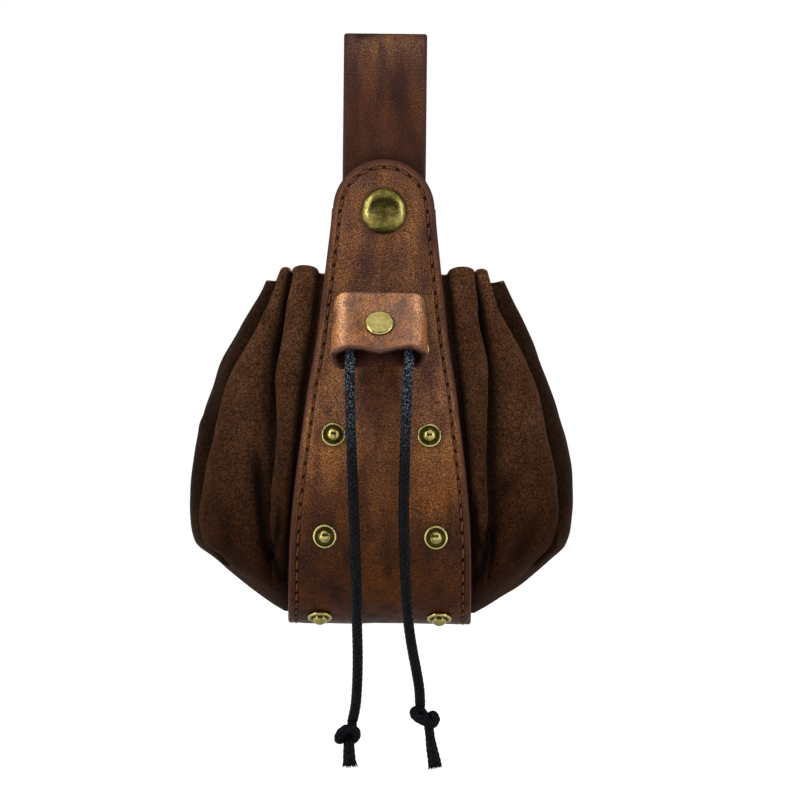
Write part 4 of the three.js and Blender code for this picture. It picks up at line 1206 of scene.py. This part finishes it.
# Belt loop
# A plain strip of the same leather, 2.4 mm thick and darker from the belt. It folds over the
# belt. Its front run goes down behind the tongue to the snap, its back run to two rivets.
LOOP_HALF = 13.75
LOOP_LEATHER = 2.4
LOOP_OPENING = 9.6
LOOP_FRONT_DROP, LOOP_BACK_DROP = 68.0, 69.0
LOOP_CORNER = 3.0
LOOP_DISTANCES = [0, 0.08, 0.22, 0.45, 0.75, 1.1, 1.6, 2.2, 2.8]
LOOP_STEP = 1.4


def loop_line():
    """The loop's outer face from the foot of its back run over the top to the front run's."""
    outer = LOOP_OPENING / 2 + LOOP_LEATHER
    bend = LOOP_OPENING / 2
    drops = np.arange(LOOP_FRONT_DROP, bend, -1.5)
    front = np.stack([np.full(len(drops), -outer), -drops], axis=1)
    turns = np.linspace(0, np.pi, 30)
    over = np.stack([-outer * np.cos(turns), outer * np.sin(turns) - bend], axis=1)
    drops = np.arange(bend + 1.5, LOOP_BACK_DROP + 0.1, 1.5)
    back = np.stack([np.full(len(drops), outer), -drops], axis=1)
    return np.vstack([front, over, back])[::-1]


loop_path = loop_line()
loop_length = distances_along(loop_path)[-1]
corner_turns = np.radians(np.arange(0, 91, 10))
corner_x = LOOP_HALF - LOOP_CORNER * (1 - np.sin(corner_turns))
corner_s = LOOP_CORNER * (1 - np.cos(corner_turns))
end_x = np.linspace(0, LOOP_HALF - LOOP_CORNER, 8, endpoint=False)
loop_corner = np.stack([corner_x, corner_s], axis=1)
loop_end = np.vstack([np.stack([end_x, 0 * end_x], axis=1), loop_corner])
side_s = np.arange(LOOP_CORNER + LOOP_STEP, loop_length - LOOP_CORNER - LOOP_STEP / 2, LOOP_STEP)
loop_sides = np.stack([np.full(len(side_s), LOOP_HALF), side_s], axis=1)
loop_outline = np.vstack([loop_end, loop_sides, (loop_end * [1, -1] + [0, loop_length])[::-1]])
# These browns are the leather's own belt-darkened tone with painted light in them: paler at the
# fold over the belt as a painted highlight, and darker further down both runs, behind the tongue
# and the strap, as painted shade.
loop_brown = leather_look(
    "loop_brown",
    tones=[
        (-3, (0.064, 0.028, 0.018)),
        (20, (0.046, 0.0138, 0.005)),
        (45, (0.034, 0.0105, 0.0034)),
    ],
    edge=(0.03, 0.011, 0.009),
    shine=0.12,
)
loop = leather_strip(
    "loop_of_leather", loop_path, loop_outline, LOOP_DISTANCES, LOOP_LEATHER, loop_brown
)
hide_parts("belt_loop")
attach(loop, "root")

# Snap
# A 15 mm ring snap in antique brass. The cap with its socket is set in the tongue, and the stud
# with its back plate in the loop's front run.
GAP = 0.3
SNAP_DROP = 56.4
CAP_RADIUS, CAP_HEIGHT = 7.55, 2.7
SNAP_BARREL, SNAP_PLATE, SNAP_PLATE_RADIUS, SNAP_PIN = 3.0, 1.0, 5.6, 1.55
# The stud's plate, its clearance from the socket, and its back plate behind the loop
STUD_PLATE, STUD_CLEAR = 0.5, 0.3
SNAP_BACK_RADIUS, SNAP_BACK_PLATE = 4.2, 0.8
# Painted highlight: the cap's top and foot get this much less of the pale, glossy wear than its
# two sides, where the side lamps shine
CAP_SIDE_HIGHLIGHT = 0.35


def brass_look():
    """Antique brass: olive and black in the hollows, pale yellow where hands have polished it, and
    pale on the snap cap's two sides as painted highlight.
    """
    look = Look("antique_brass", 0.3, metallic=1.0)
    wear_and_painted_light = look.attribute("wear_and_painted_light")
    blotch = look.noise(1.6, 5)
    speck = look.noise(0.45, 4)
    blotchy = look.sums("MULTIPLY", look.sums("SUBTRACT", blotch, 0.5), 0.55)
    uneven = look.sums("ADD", wear_and_painted_light, blotchy)
    dark, olive, pale = (0.02, 0.015, 0.003), (0.1, 0.082, 0.017), (0.34, 0.285, 0.092)
    colour = look.ramp(uneven, [(0.02, dark), (0.34, olive), (0.72, pale), (1, (0.52, 0.45, 0.19))])
    pits = look.ramp(speck, [(0.32, 0.4), (0.55, 1.0)])
    look.colour(look.blend(0.45, colour, pits, "MULTIPLY"))
    look.rough(look.ramp(uneven, [(0.05, 0.5), (0.4, 0.25), (0.9, 0.17)]))
    look.normal(look.relief(speck, 0.05, look.relief(blotch, 0.12)))
    return look.material


def on_front(across, drop):
    """A place on the strap's outer face and the direction out of it."""
    step = 0.5
    slope = (front_face(drop + step) - front_face(drop - step)) / (2 * step)
    return np.array([across, -front_face(drop), -drop]), unit(np.array([0, -1, slope]))


def on_bottom(across, degrees):
    """The same on the strap's rounded bottom, by degrees round it from the belly."""
    turn = math.radians(degrees)
    forwards, downwards = math.cos(turn), math.sin(turn)
    place = [across, -FRONT_REACH * forwards, -BELLY_DROP - BOTTOM_DEPTH * downwards]
    return np.array(place), unit(np.array([0, -forwards / FRONT_REACH, -downwards / BOTTOM_DEPTH]))


def turned_piece(name, profile, place, direction, material, sides=64, painted_side_highlight=0.0):
    """Brass turned or spun round an axis, from (radius, height, wear) rows. A share of the wear
    can be taken off at the top and the foot, which leaves the two sides paler and glossier as
    painted highlight.
    """
    rows = np.array(profile, float)
    turns = 2 * np.pi * np.arange(sides) / sides
    axis = np.array(direction)
    first = unit(np.cross(axis, (0.3, 0, 1.0)))
    second = np.cross(axis, first)
    ring = np.cos(turns)[:, None] * first + np.sin(turns)[:, None] * second
    points = place + rows[:, None, 0, None] * ring[None] + rows[:, None, 1, None] * axis
    piece = add_piece(name, points.reshape(-1, 3), grid_faces(len(rows), sides), material)
    painted_side_light = 1 - painted_side_highlight * (1 - ring[:, 0] ** 2)
    keep_values(piece, "wear_and_painted_light", np.outer(rows[:, 2], painted_side_light).ravel())
    close_up(piece, 0.002)
    return piece


brass = brass_look()
snap_place, snap_out = on_front(0, SNAP_DROP)
back_of_tongue = -STRAP_LEATHER - GAP
socket = back_of_tongue - SNAP_PLATE
# The third column is wear, a little higher on the band of the cap's shoulder where the side
# highlights fall, as painted highlight
cap_profile = [
    (0.001, socket + SNAP_BARREL, 0.1),
    (SNAP_PIN + GAP, socket + SNAP_BARREL, 0.1),
    (SNAP_PIN + GAP, socket, 0.3),
    (SNAP_PLATE_RADIUS - 0.3, socket, 0.4),
    (SNAP_PLATE_RADIUS, socket + 0.3, 0.5),
    (SNAP_PLATE_RADIUS, back_of_tongue, 0.3),
    (SNAP_BARREL, back_of_tongue, 0.1),
    (SNAP_BARREL, 0.05, 0.1),
    (CAP_RADIUS - 0.5, 0.05, 0.1),
    (CAP_RADIUS - 0.12, 0.18, 0.3),
    (CAP_RADIUS, 0.42, 0.42),
    (CAP_RADIUS - 0.1, 0.72, 0.42),
    (CAP_RADIUS - 0.35, 1.02, 0.44),
    (CAP_RADIUS - 0.8, 1.36, 0.46),
    (CAP_RADIUS - 1.35, 1.71, 0.55),
    (CAP_RADIUS - 1.95, 2.04, 0.52),
    (CAP_RADIUS - 2.6, 2.31, 0.47),
    (CAP_RADIUS - 3.35, 2.52, 0.5),
    (CAP_RADIUS - 4.6, 2.64, 0.52),
    (CAP_RADIUS - 6, CAP_HEIGHT - 0.01, 0.52),
    (0.001, CAP_HEIGHT, 0.25),
]
snap_cap = turned_piece(
    "snap_cap_brass", cap_profile, snap_place, snap_out, brass, painted_side_highlight=CAP_SIDE_HIGHLIGHT
)
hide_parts("snap_cap")
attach(snap_cap, "root")

plate_back = socket - STUD_CLEAR - STUD_PLATE
loop_back = plate_back - GAP - LOOP_LEATHER
back_face_of_plate = loop_back - GAP
pin_tip = socket + SNAP_BARREL - GAP
snap_stud_profile = [
    (0.001, back_face_of_plate - SNAP_BACK_PLATE, 0.5),
    (SNAP_BACK_RADIUS - 0.8, back_face_of_plate - SNAP_BACK_PLATE, 0.5),
    (SNAP_BACK_RADIUS - 0.2, back_face_of_plate - 0.65, 0.6),
    (SNAP_BACK_RADIUS, back_face_of_plate - 0.35, 0.6),
    (SNAP_BACK_RADIUS, back_face_of_plate, 0.3),
    (SNAP_PIN, back_face_of_plate, 0.2),
    (SNAP_PIN, plate_back, 0.2),
    (SNAP_BACK_RADIUS, plate_back, 0.4),
    (SNAP_BACK_RADIUS, plate_back + STUD_PLATE, 0.4),
    (SNAP_PIN, plate_back + STUD_PLATE, 0.3),
    (SNAP_PIN, pin_tip - 0.5, 0.5),
    (0.9, pin_tip, 0.6),
    (0.001, pin_tip, 0.6),
]
snap_stud = turned_piece("snap_stud_brass", snap_stud_profile, snap_place, snap_out, brass, 32)
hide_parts("snap_stud")
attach(snap_stud, "root")

# Studs
# Six brass studs pass through the strap and the bag and are spread over a plate inside. Each
# has a raised rim, a dark groove and a small dome.
STUD_RADIUS, STUD_HEIGHT, STUD_POST = 4.0, 3.3, 1.3
STUD_BACK_RADIUS, STUD_BACK_PLATE = 3.2, 0.9
THROUGH_BAG = BAG_INSET + BAG_WALL + 0.9
STUD_PLACES = {
    "stud_top_left": on_front(-15.8, 130.2),
    "stud_top_right": on_front(15.8, 130.2),
    "stud_middle_left": on_bottom(-18.3, 6.1),
    "stud_middle_right": on_bottom(18.3, 6.1),
    "stud_bottom_left": on_bottom(-19.7, 66),
    "stud_bottom_right": on_bottom(19.7, 66),
}
stud_profile = [
    (0.001, -THROUGH_BAG - STUD_BACK_PLATE, 0.4),
    (STUD_BACK_RADIUS - 0.3, -THROUGH_BAG - STUD_BACK_PLATE, 0.4),
    (STUD_BACK_RADIUS, -THROUGH_BAG - STUD_BACK_PLATE + 0.3, 0.5),
    (STUD_BACK_RADIUS, -THROUGH_BAG, 0.3),
    (STUD_POST, -THROUGH_BAG, 0.2),
    (STUD_POST, 0.05, 0.2),
    (STUD_RADIUS - 0.3, 0.05, 0.2),
    (STUD_RADIUS, 0.25, 0.5),
    (STUD_RADIUS, 0.75, 0.8),
    (STUD_RADIUS - 0.16, 1.15, 0.95),
    (STUD_RADIUS - 0.42, 1.34, 1.0),
    (STUD_RADIUS - 0.72, 1.26, 0.8),
    (STUD_RADIUS - 0.98, 0.98, 0.35),
    (STUD_RADIUS - 1.15, 0.78, 0.35),
    (STUD_RADIUS - 1.35, 0.74, 0.25),
    (STUD_RADIUS - 1.55, 0.84, 0.3),
    (2.38, 1.15, 0.45),
    (2.32, 1.6, 0.55),
    (2.15, 2.1, 0.62),
    (1.85, 2.55, 0.68),
    (1.4, 2.93, 0.72),
    (0.8, 3.18, 0.76),
    (0.001, STUD_HEIGHT, 0.78),
]
for node, (place, direction) in STUD_PLACES.items():
    stud = turned_piece(f"{node}_brass", stud_profile, place, direction, brass, 48)
    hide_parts(node)
    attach(stud, "root")

# Eyelets
# Two brass eyelets behind the slider let the drawstring in through the strap and the bag.
EYELET_DROP, EYELET_ACROSS, EYELET_RADIUS, EYELET_FLANGE = 101.9, 11.7, 4.0, 0.8
eyelet_inner = CORD_DIAMETER / 2 + 0.5
eyelet_barrel = eyelet_inner + 0.5
eyelet_profile = [
    (eyelet_inner, -THROUGH_BAG - EYELET_FLANGE, 0.4),
    (EYELET_RADIUS - 0.6, -THROUGH_BAG - EYELET_FLANGE, 0.5),
    (EYELET_RADIUS - 0.5, -THROUGH_BAG, 0.4),
    (eyelet_barrel, -THROUGH_BAG, 0.2),
    (eyelet_barrel, 0.05, 0.2),
    (EYELET_RADIUS - 0.1, 0.05, 0.3),
    (EYELET_RADIUS, 0.35, 0.6),
    (EYELET_RADIUS - 0.3, 0.85, 0.8),
    (EYELET_RADIUS - 0.75, 1.08, 0.9),
    (EYELET_RADIUS - 1.2, 1.0, 0.8),
    (eyelet_inner + 0.12, 0.7, 0.6),
    (eyelet_inner, 0.2, 0.3),
    (eyelet_inner, -THROUGH_BAG - EYELET_FLANGE, 0.4),
]
for node, across in (("eyelet_left", -EYELET_ACROSS), ("eyelet_right", EYELET_ACROSS)):
    place, direction = on_front(across, EYELET_DROP)
    eyelet = turned_piece(f"{node}_brass", eyelet_profile, place, direction, brass, 40)
    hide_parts(node)
    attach(eyelet, "root")

# Loop rivets
# Two plain brass rivets hold the loop's back run to the strap's back end.
LOOP_RIVET_DROP, LOOP_RIVET_ACROSS, LOOP_RIVET_RADIUS = 61.0, 7.0, 4.2
RIVET_POST, RIVET_HEAD = 1.4, 1.1


def rivet_profile(radius, thickness):
    """A flat head over leather of a thickness, with a smaller head behind it."""
    back, back_radius = -thickness - GAP, 0.8 * radius
    return [
        (0.001, back - 0.8 * RIVET_HEAD, 0.4),
        (back_radius - 0.2, back - 0.8 * RIVET_HEAD, 0.4),
        (back_radius, back - 0.6 * RIVET_HEAD, 0.5),
        (back_radius, back, 0.3),
        (RIVET_POST, back, 0.2),
        (RIVET_POST, 0.05, 0.2),
        (radius - 0.2, 0.05, 0.2),
        (radius, 0.3, 0.5),
        (radius - 0.05, 0.75, 0.8),
        (radius - 0.35, 1.12, 0.95),
        (radius - 0.8, GAP + RIVET_HEAD - 0.06, 0.7),
        (radius - 1.3, GAP + RIVET_HEAD - 0.14, 0.62),
        (0.5 * radius, GAP + RIVET_HEAD - 0.1, 0.66),
        (0.001, GAP + RIVET_HEAD, 0.7),
    ]


loop_rivet_profile = rivet_profile(LOOP_RIVET_RADIUS, STRAP_LEATHER + GAP + LOOP_LEATHER)
for node, side in (("loop_rivet_left", -1), ("loop_rivet_right", 1)):
    behind = float(back_face(LOOP_RIVET_DROP))
    place = np.array([side * LOOP_RIVET_ACROSS, behind, -LOOP_RIVET_DROP])
    backwards = np.array([0.0, 1.0, 0.0])
    rivet = turned_piece(f"{node}_brass", loop_rivet_profile, place, backwards, brass, 40)
    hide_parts(node)
    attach(rivet, "root")

# Slider
# A short sleeve of tan leather that both cords run through. A flat brass rivet pinches it in the
# middle, so it grips the cords in two tunnels, and its cut edges curl over them.
SLIDER_WIDTH, SLIDER_LENGTH, SLIDER_LEATHER = 31.3, 24.4, 2.2
SLIDER_TILT = math.radians(38)
SLIDER_RIVET_RADIUS = 4.9
TUNNEL_ACROSS = 9.7
# A tunnel's height, and how far it is open at the top and at the foot
TUNNEL_HEIGHT = CORD_DIAMETER + 1.4
SLIDER_OPEN_TOP, SLIDER_OPEN_FOOT = 0.94, 0.4
SLIDER_HALF_THICK = TUNNEL_HEIGHT / 2 + SLIDER_LEATHER
SLIDER_TAPER = 0.035
SLIDER_EDGE_ROUND = 0.9
# Rounded corners at the top and at the foot, across and along
SLIDER_CORNERS = [(2.6, 1.5), (4.2, 2.6)]
# How far the lower cut edge is drawn up, by distance across, in front and behind
SLIDER_FRONT_LIP = (
    [-16, -13, -9.7, -5, 0, 5, 9.7, 13, 16],
    [-2.4, -0.3, 1.2, 1.3, 0.3, 1.4, 1.8, 0.4, -2.0],
)
SLIDER_BACK_LIP = ([-16, -13, -9, -3, 6, 12, 16], [-2.6, -2.4, -1.9, -1.3, -0.8, -1.2, -2.2])
# Painted highlights on the outer sides of the two tunnels, paler and whiter: where, half width,
# and shares of the way along with how much at each
PAINTED_HIGHLIGHT_ACROSS, PAINTED_HIGHLIGHT_HALF = 12.4, 1.5
PAINTED_HIGHLIGHT_ALONG, PAINTED_HIGHLIGHT_SHARES = [-1, -0.75, 0.8, 1], [0.1, 0.75, 1, 0.2]
SLIDER_ROWS, SLIDER_COLUMNS = 30, 132
slider_up = np.array([0, math.sin(SLIDER_TILT), math.cos(SLIDER_TILT)])
slider_out = np.array([0, -math.cos(SLIDER_TILT), math.sin(SLIDER_TILT)])
slider_low, slider_high = (np.array(corner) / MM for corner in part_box("cord_slider"))
slider_centre = (slider_low + slider_high) / 2 - [0.2, 0, 0]


def in_slider(across, along, out):
    """A place by how far it is across, up along and out of the slider's middle."""
    return slider_centre + np.array([across, 0, 0]) + along * slider_up + out * slider_out


def slider_height(x, share):
    """Half the sleeve's height at x, for a share of the way from its middle to its top. The
    rivet pinches it in the middle, and it opens more at the top than at the bottom."""
    full, bend = SLIDER_HALF_THICK, SLIDER_WIDTH / 2 - SLIDER_HALF_THICK
    opened = SLIDER_OPEN_TOP if share > 0 else SLIDER_OPEN_FOOT
    closed = SLIDER_LEATHER + GAP / 2
    pinched = closed + (full - closed) * opened * share**2
    inner_radius = 0.7 * SLIDER_RIVET_RADIUS * (1 - share**2)
    far = np.abs(x)
    t = np.clip((far - inner_radius) / (1.12 * TUNNEL_ACROSS - inner_radius), 0, 1)
    inner = pinched + (full - pinched) * np.sin(t * np.pi / 2) ** 1.5
    outer = np.sqrt(np.clip(full**2 - np.clip(far - bend, 0, full) ** 2, 0, None))
    return np.where(far > bend, outer, inner)


def slider_ring(share):
    """The sleeve's outline seen from its end, in equal steps, with outward directions."""
    half = SLIDER_WIDTH / 2
    x = half * np.cos(np.linspace(0, np.pi, 400))
    x = np.sign(x) * half * (np.abs(x) / half) ** 0.85
    top = np.stack([x, slider_height(x, share)], axis=1)
    ring = np.vstack([top, top[::-1][1:-1] * [1, -1]])
    ring = np.vstack([ring, ring[:1]])
    along = distances_along(ring)
    stops = np.linspace(0, along[-1], SLIDER_COLUMNS, endpoint=False)
    even = np.stack([np.interp(stops, along, ring[:, k]) for k in (0, 1)], axis=1)
    run = np.roll(even, -1, axis=0) - np.roll(even, 1, axis=0)
    return even, unit(np.stack([run[:, 1], -run[:, 0]], axis=1))


slider_skins = ([], [])
# Shares of the way from its middle to its ends, closer together at the ends
lengths = np.linspace(-1, 1, SLIDER_ROWS)
lengths = np.sign(lengths) * (1 - (1 - np.abs(lengths)) ** 1.35)
for share in lengths:
    ring, outward = slider_ring(share)
    from_end = (1 - abs(share)) * SLIDER_LENGTH / 2
    rounding = max(1 - from_end / SLIDER_EDGE_ROUND, 0)
    sunk = SLIDER_EDGE_ROUND * (1 - math.sqrt(1 - rounding**2))
    across_size, along_size = SLIDER_CORNERS[0] if share > 0 else SLIDER_CORNERS[1]
    corner = np.clip((np.abs(ring[:, 0]) - SLIDER_WIDTH / 2) / across_size + 1, 0, 1)
    cut_off = np.sign(share) * abs(share) ** 8 * corner**2 * along_size
    along_row = share * SLIDER_LENGTH / 2 - cut_off
    if share < 0:
        front = np.interp(ring[:, 0], *SLIDER_FRONT_LIP)
        back = np.interp(ring[:, 0], *SLIDER_BACK_LIP)
        facing = np.clip(0.5 + ring[:, 1] / 2, 0, 1)
        along_row = along_row + share**4 * (back + (front - back) * facing)
    for skin, depth in zip(slider_skins, (sunk, SLIDER_LEATHER - 0.55 * sunk)):
        flat = ring - depth * outward
        skin.append(
            slider_centre
            + flat[:, :1] * np.array([1 - SLIDER_TAPER * share, 0, 0])
            + flat[:, 1:] * slider_out
            + along_row[:, None] * slider_up
        )
outer_skin, inner_skin = (np.array(skin) for skin in slider_skins)
outer_skin += 0.07 * cloudy(outer_skin, 7, 31)[..., None] * slider_out
slider_faces = grid_faces(SLIDER_ROWS, SLIDER_COLUMNS)
skin_faces, inner_start = len(slider_faces), SLIDER_ROWS * SLIDER_COLUMNS
inner_faces = grid_faces(SLIDER_ROWS, SLIDER_COLUMNS, inner_start)
slider_faces += [tuple(reversed(face)) for face in inner_faces]
for row, turn_over in ((0, True), (SLIDER_ROWS - 1, False)):
    for c in range(SLIDER_COLUMNS):
        a = row * SLIDER_COLUMNS + c
        b = row * SLIDER_COLUMNS + (c + 1) % SLIDER_COLUMNS
        wall = (a, b, b + inner_start, a + inner_start)
        slider_faces.append(tuple(reversed(wall)) if turn_over else wall)
slider = add_piece(
    "slider_of_leather",
    np.vstack([outer_skin.reshape(-1, 3), inner_skin.reshape(-1, 3)]),
    slider_faces,
    leather_look(
        "slider_tan",
        tones=[(80, (0.2, 0.078, 0.024)), (92, (0.21, 0.08, 0.023)), (108, (0.26, 0.098, 0.028))],
        edge=(0.05, 0.014, 0.007),
        shine=0.4,
        roughness=0.3,
        # Painted highlight: the tunnels' outer sides turn paler and whiter
        painted_light_colour=(2.4, 3.2, 5.0),
    ),
    two_toned_look(
        "cut_edge", 0.6, 0.1, (1.2, 4), (0.022, 0.006, 0.0035), (0.055, 0.017, 0.009), (0.5, 3, 0.1)
    ),
    two_toned_look(
        "flesh_side_painted_shade",
        0.9,
        0.05,
        (1.2, 4),
        (0.012, 0.004, 0.0025),
        (0.035, 0.012, 0.007),
        (0.5, 3, 0.15),
    ),
)
# The outer skin is tan, the inner one shows its flesh side, darkened with painted shade inside
# the sleeve, and the ends are cut edges
slider_materials = np.repeat([0, 2, 1], [skin_faces, skin_faces, 2 * SLIDER_COLUMNS])
slider.data.polygons.foreach_set("material_index", slider_materials.astype(np.int32))
outer_places = (outer_skin - slider_centre).reshape(-1, 3)
# Painted highlight on the outer sides of the tunnels, on the outer skin only
painted_light = np.exp(-(((np.abs(outer_places[:, 0]) - PAINTED_HIGHLIGHT_ACROSS) / PAINTED_HIGHLIGHT_HALF) ** 2))
painted_light *= outer_places @ slider_out > 0
painted_light *= np.repeat(np.interp(lengths, PAINTED_HIGHLIGHT_ALONG, PAINTED_HIGHLIGHT_SHARES), SLIDER_COLUMNS)
slider_from_edge = np.repeat((1 - np.abs(lengths)) * SLIDER_LENGTH / 2, SLIDER_COLUMNS)
keep_values(slider, "painted_light", np.r_[painted_light, 0 * painted_light])
keep_values(slider, "from_edge", np.tile(slider_from_edge, 2))
close_up(slider)
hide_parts("cord_slider")
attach(slider, "root")

slider_pinch = 2 * SLIDER_LEATHER + GAP
slider_rivet = turned_piece(
    "slider_rivet_brass",
    rivet_profile(SLIDER_RIVET_RADIUS, slider_pinch),
    in_slider(0, 0, slider_pinch / 2),
    slider_out,
    brass,
)
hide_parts("slider_rivet")
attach(slider_rivet, "root")

# Drawstring
# The held stretch of the same cord. It comes up through the slider, goes over its back layer
# into the eyelets and runs round inside the bag's mouth, close behind the pleats.
MOUTH_CORD_DROP = 92.0
MOUTH_CORD_INSET = 7.2
MOUTH_CORD_STEP = 0.85
# Before the eyelet, in cord diameters: out of the strap and up. Behind it: further in, up and
# aside.
EYELET_APPROACH = [(1.55, 0.15), (1.2, -0.1), (0.6, 0), (0, 0)]
EYELET_LEAVE = [(0, 0, 0), (0.3, 0, 0), (0.9, 0.6, 0.6)]
# Degrees of its turn over the slider's top, and shares of half its length down the back
SLIDER_TURN = [0, 60, 120, 180]
SLIDER_BACK_STOPS = [0.45, 0.12]


def cord_from_slider(side):
    """From the slider's lower mouth up its tunnel, over its back and in through the eyelet."""
    across = side * TUNNEL_ACROSS
    bend = (TUNNEL_HEIGHT + SLIDER_LEATHER) / 2
    route = [in_slider(across, -SLIDER_LENGTH / 2 + GAP, 0), in_slider(across, 0, 0)]
    for degrees in SLIDER_TURN:
        turn = math.radians(degrees)
        along = SLIDER_LENGTH / 2 + bend * math.sin(turn)
        route.append(in_slider(across, along, bend * (math.cos(turn) - 1)))
    for share in SLIDER_BACK_STOPS:
        route.append(in_slider(across, SLIDER_LENGTH / 2 * share, -2 * bend))
    place, direction = on_front(side * EYELET_ACROSS, EYELET_DROP)
    up = np.array([0, 0, 1.0])
    for out, rise in EYELET_APPROACH:
        route.append(place + CORD_DIAMETER * (out * direction + rise * up))
    back_flange = -THROUGH_BAG - EYELET_FLANGE
    route.append(place + back_flange / 2 * direction)
    for further, rise, aside in EYELET_LEAVE:
        stop = place + (back_flange - further * CORD_DIAMETER) * direction
        sideways = np.array([side * aside * CORD_DIAMETER, 0, 0])
        route.append(stop + rise * CORD_DIAMETER * up + sideways)
    return route


def cord_round_mouth():
    """Round the mouth from the right eyelet past the back to the left one."""
    down = (MOUTH_CORD_DROP - RIM_DROP) / (BAG_FOOT_DROP - RIM_DROP)
    half = BAG_HALF * float(down_curves["half"](down))
    strap = float(strap_half(MOUTH_CORD_DROP)) * STRAP_FLAT
    route = []
    for face, turns in ((-1, range(20, 81, 15)), (1, range(90, -1, -15))):
        depth = float(bag_depth(face, MOUTH_CORD_DROP)) - MOUTH_CORD_INSET
        for degrees in turns:
            turn = math.radians(degrees)
            x = strap + (half - MOUTH_CORD_INSET - strap) * math.sin(turn)
            route.append(np.array([x, face * depth * math.cos(turn), -MOUTH_CORD_DROP]))
    return route + [stop * [-1, 1, 1] for stop in reversed(route)]


mouth_route = cord_from_slider(1) + cord_round_mouth() + cord_from_slider(-1)[::-1]
mouth_path = smooth_route(mouth_route, MOUTH_CORD_STEP)
mouth_points, mouth_faces = braid(mouth_path, CORD_DIAMETER / 2, sides=5)
mouth_cord = add_piece("drawstring_braid", mouth_points, mouth_faces, waxed)
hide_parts("drawstring")
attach(mouth_cord, "root")
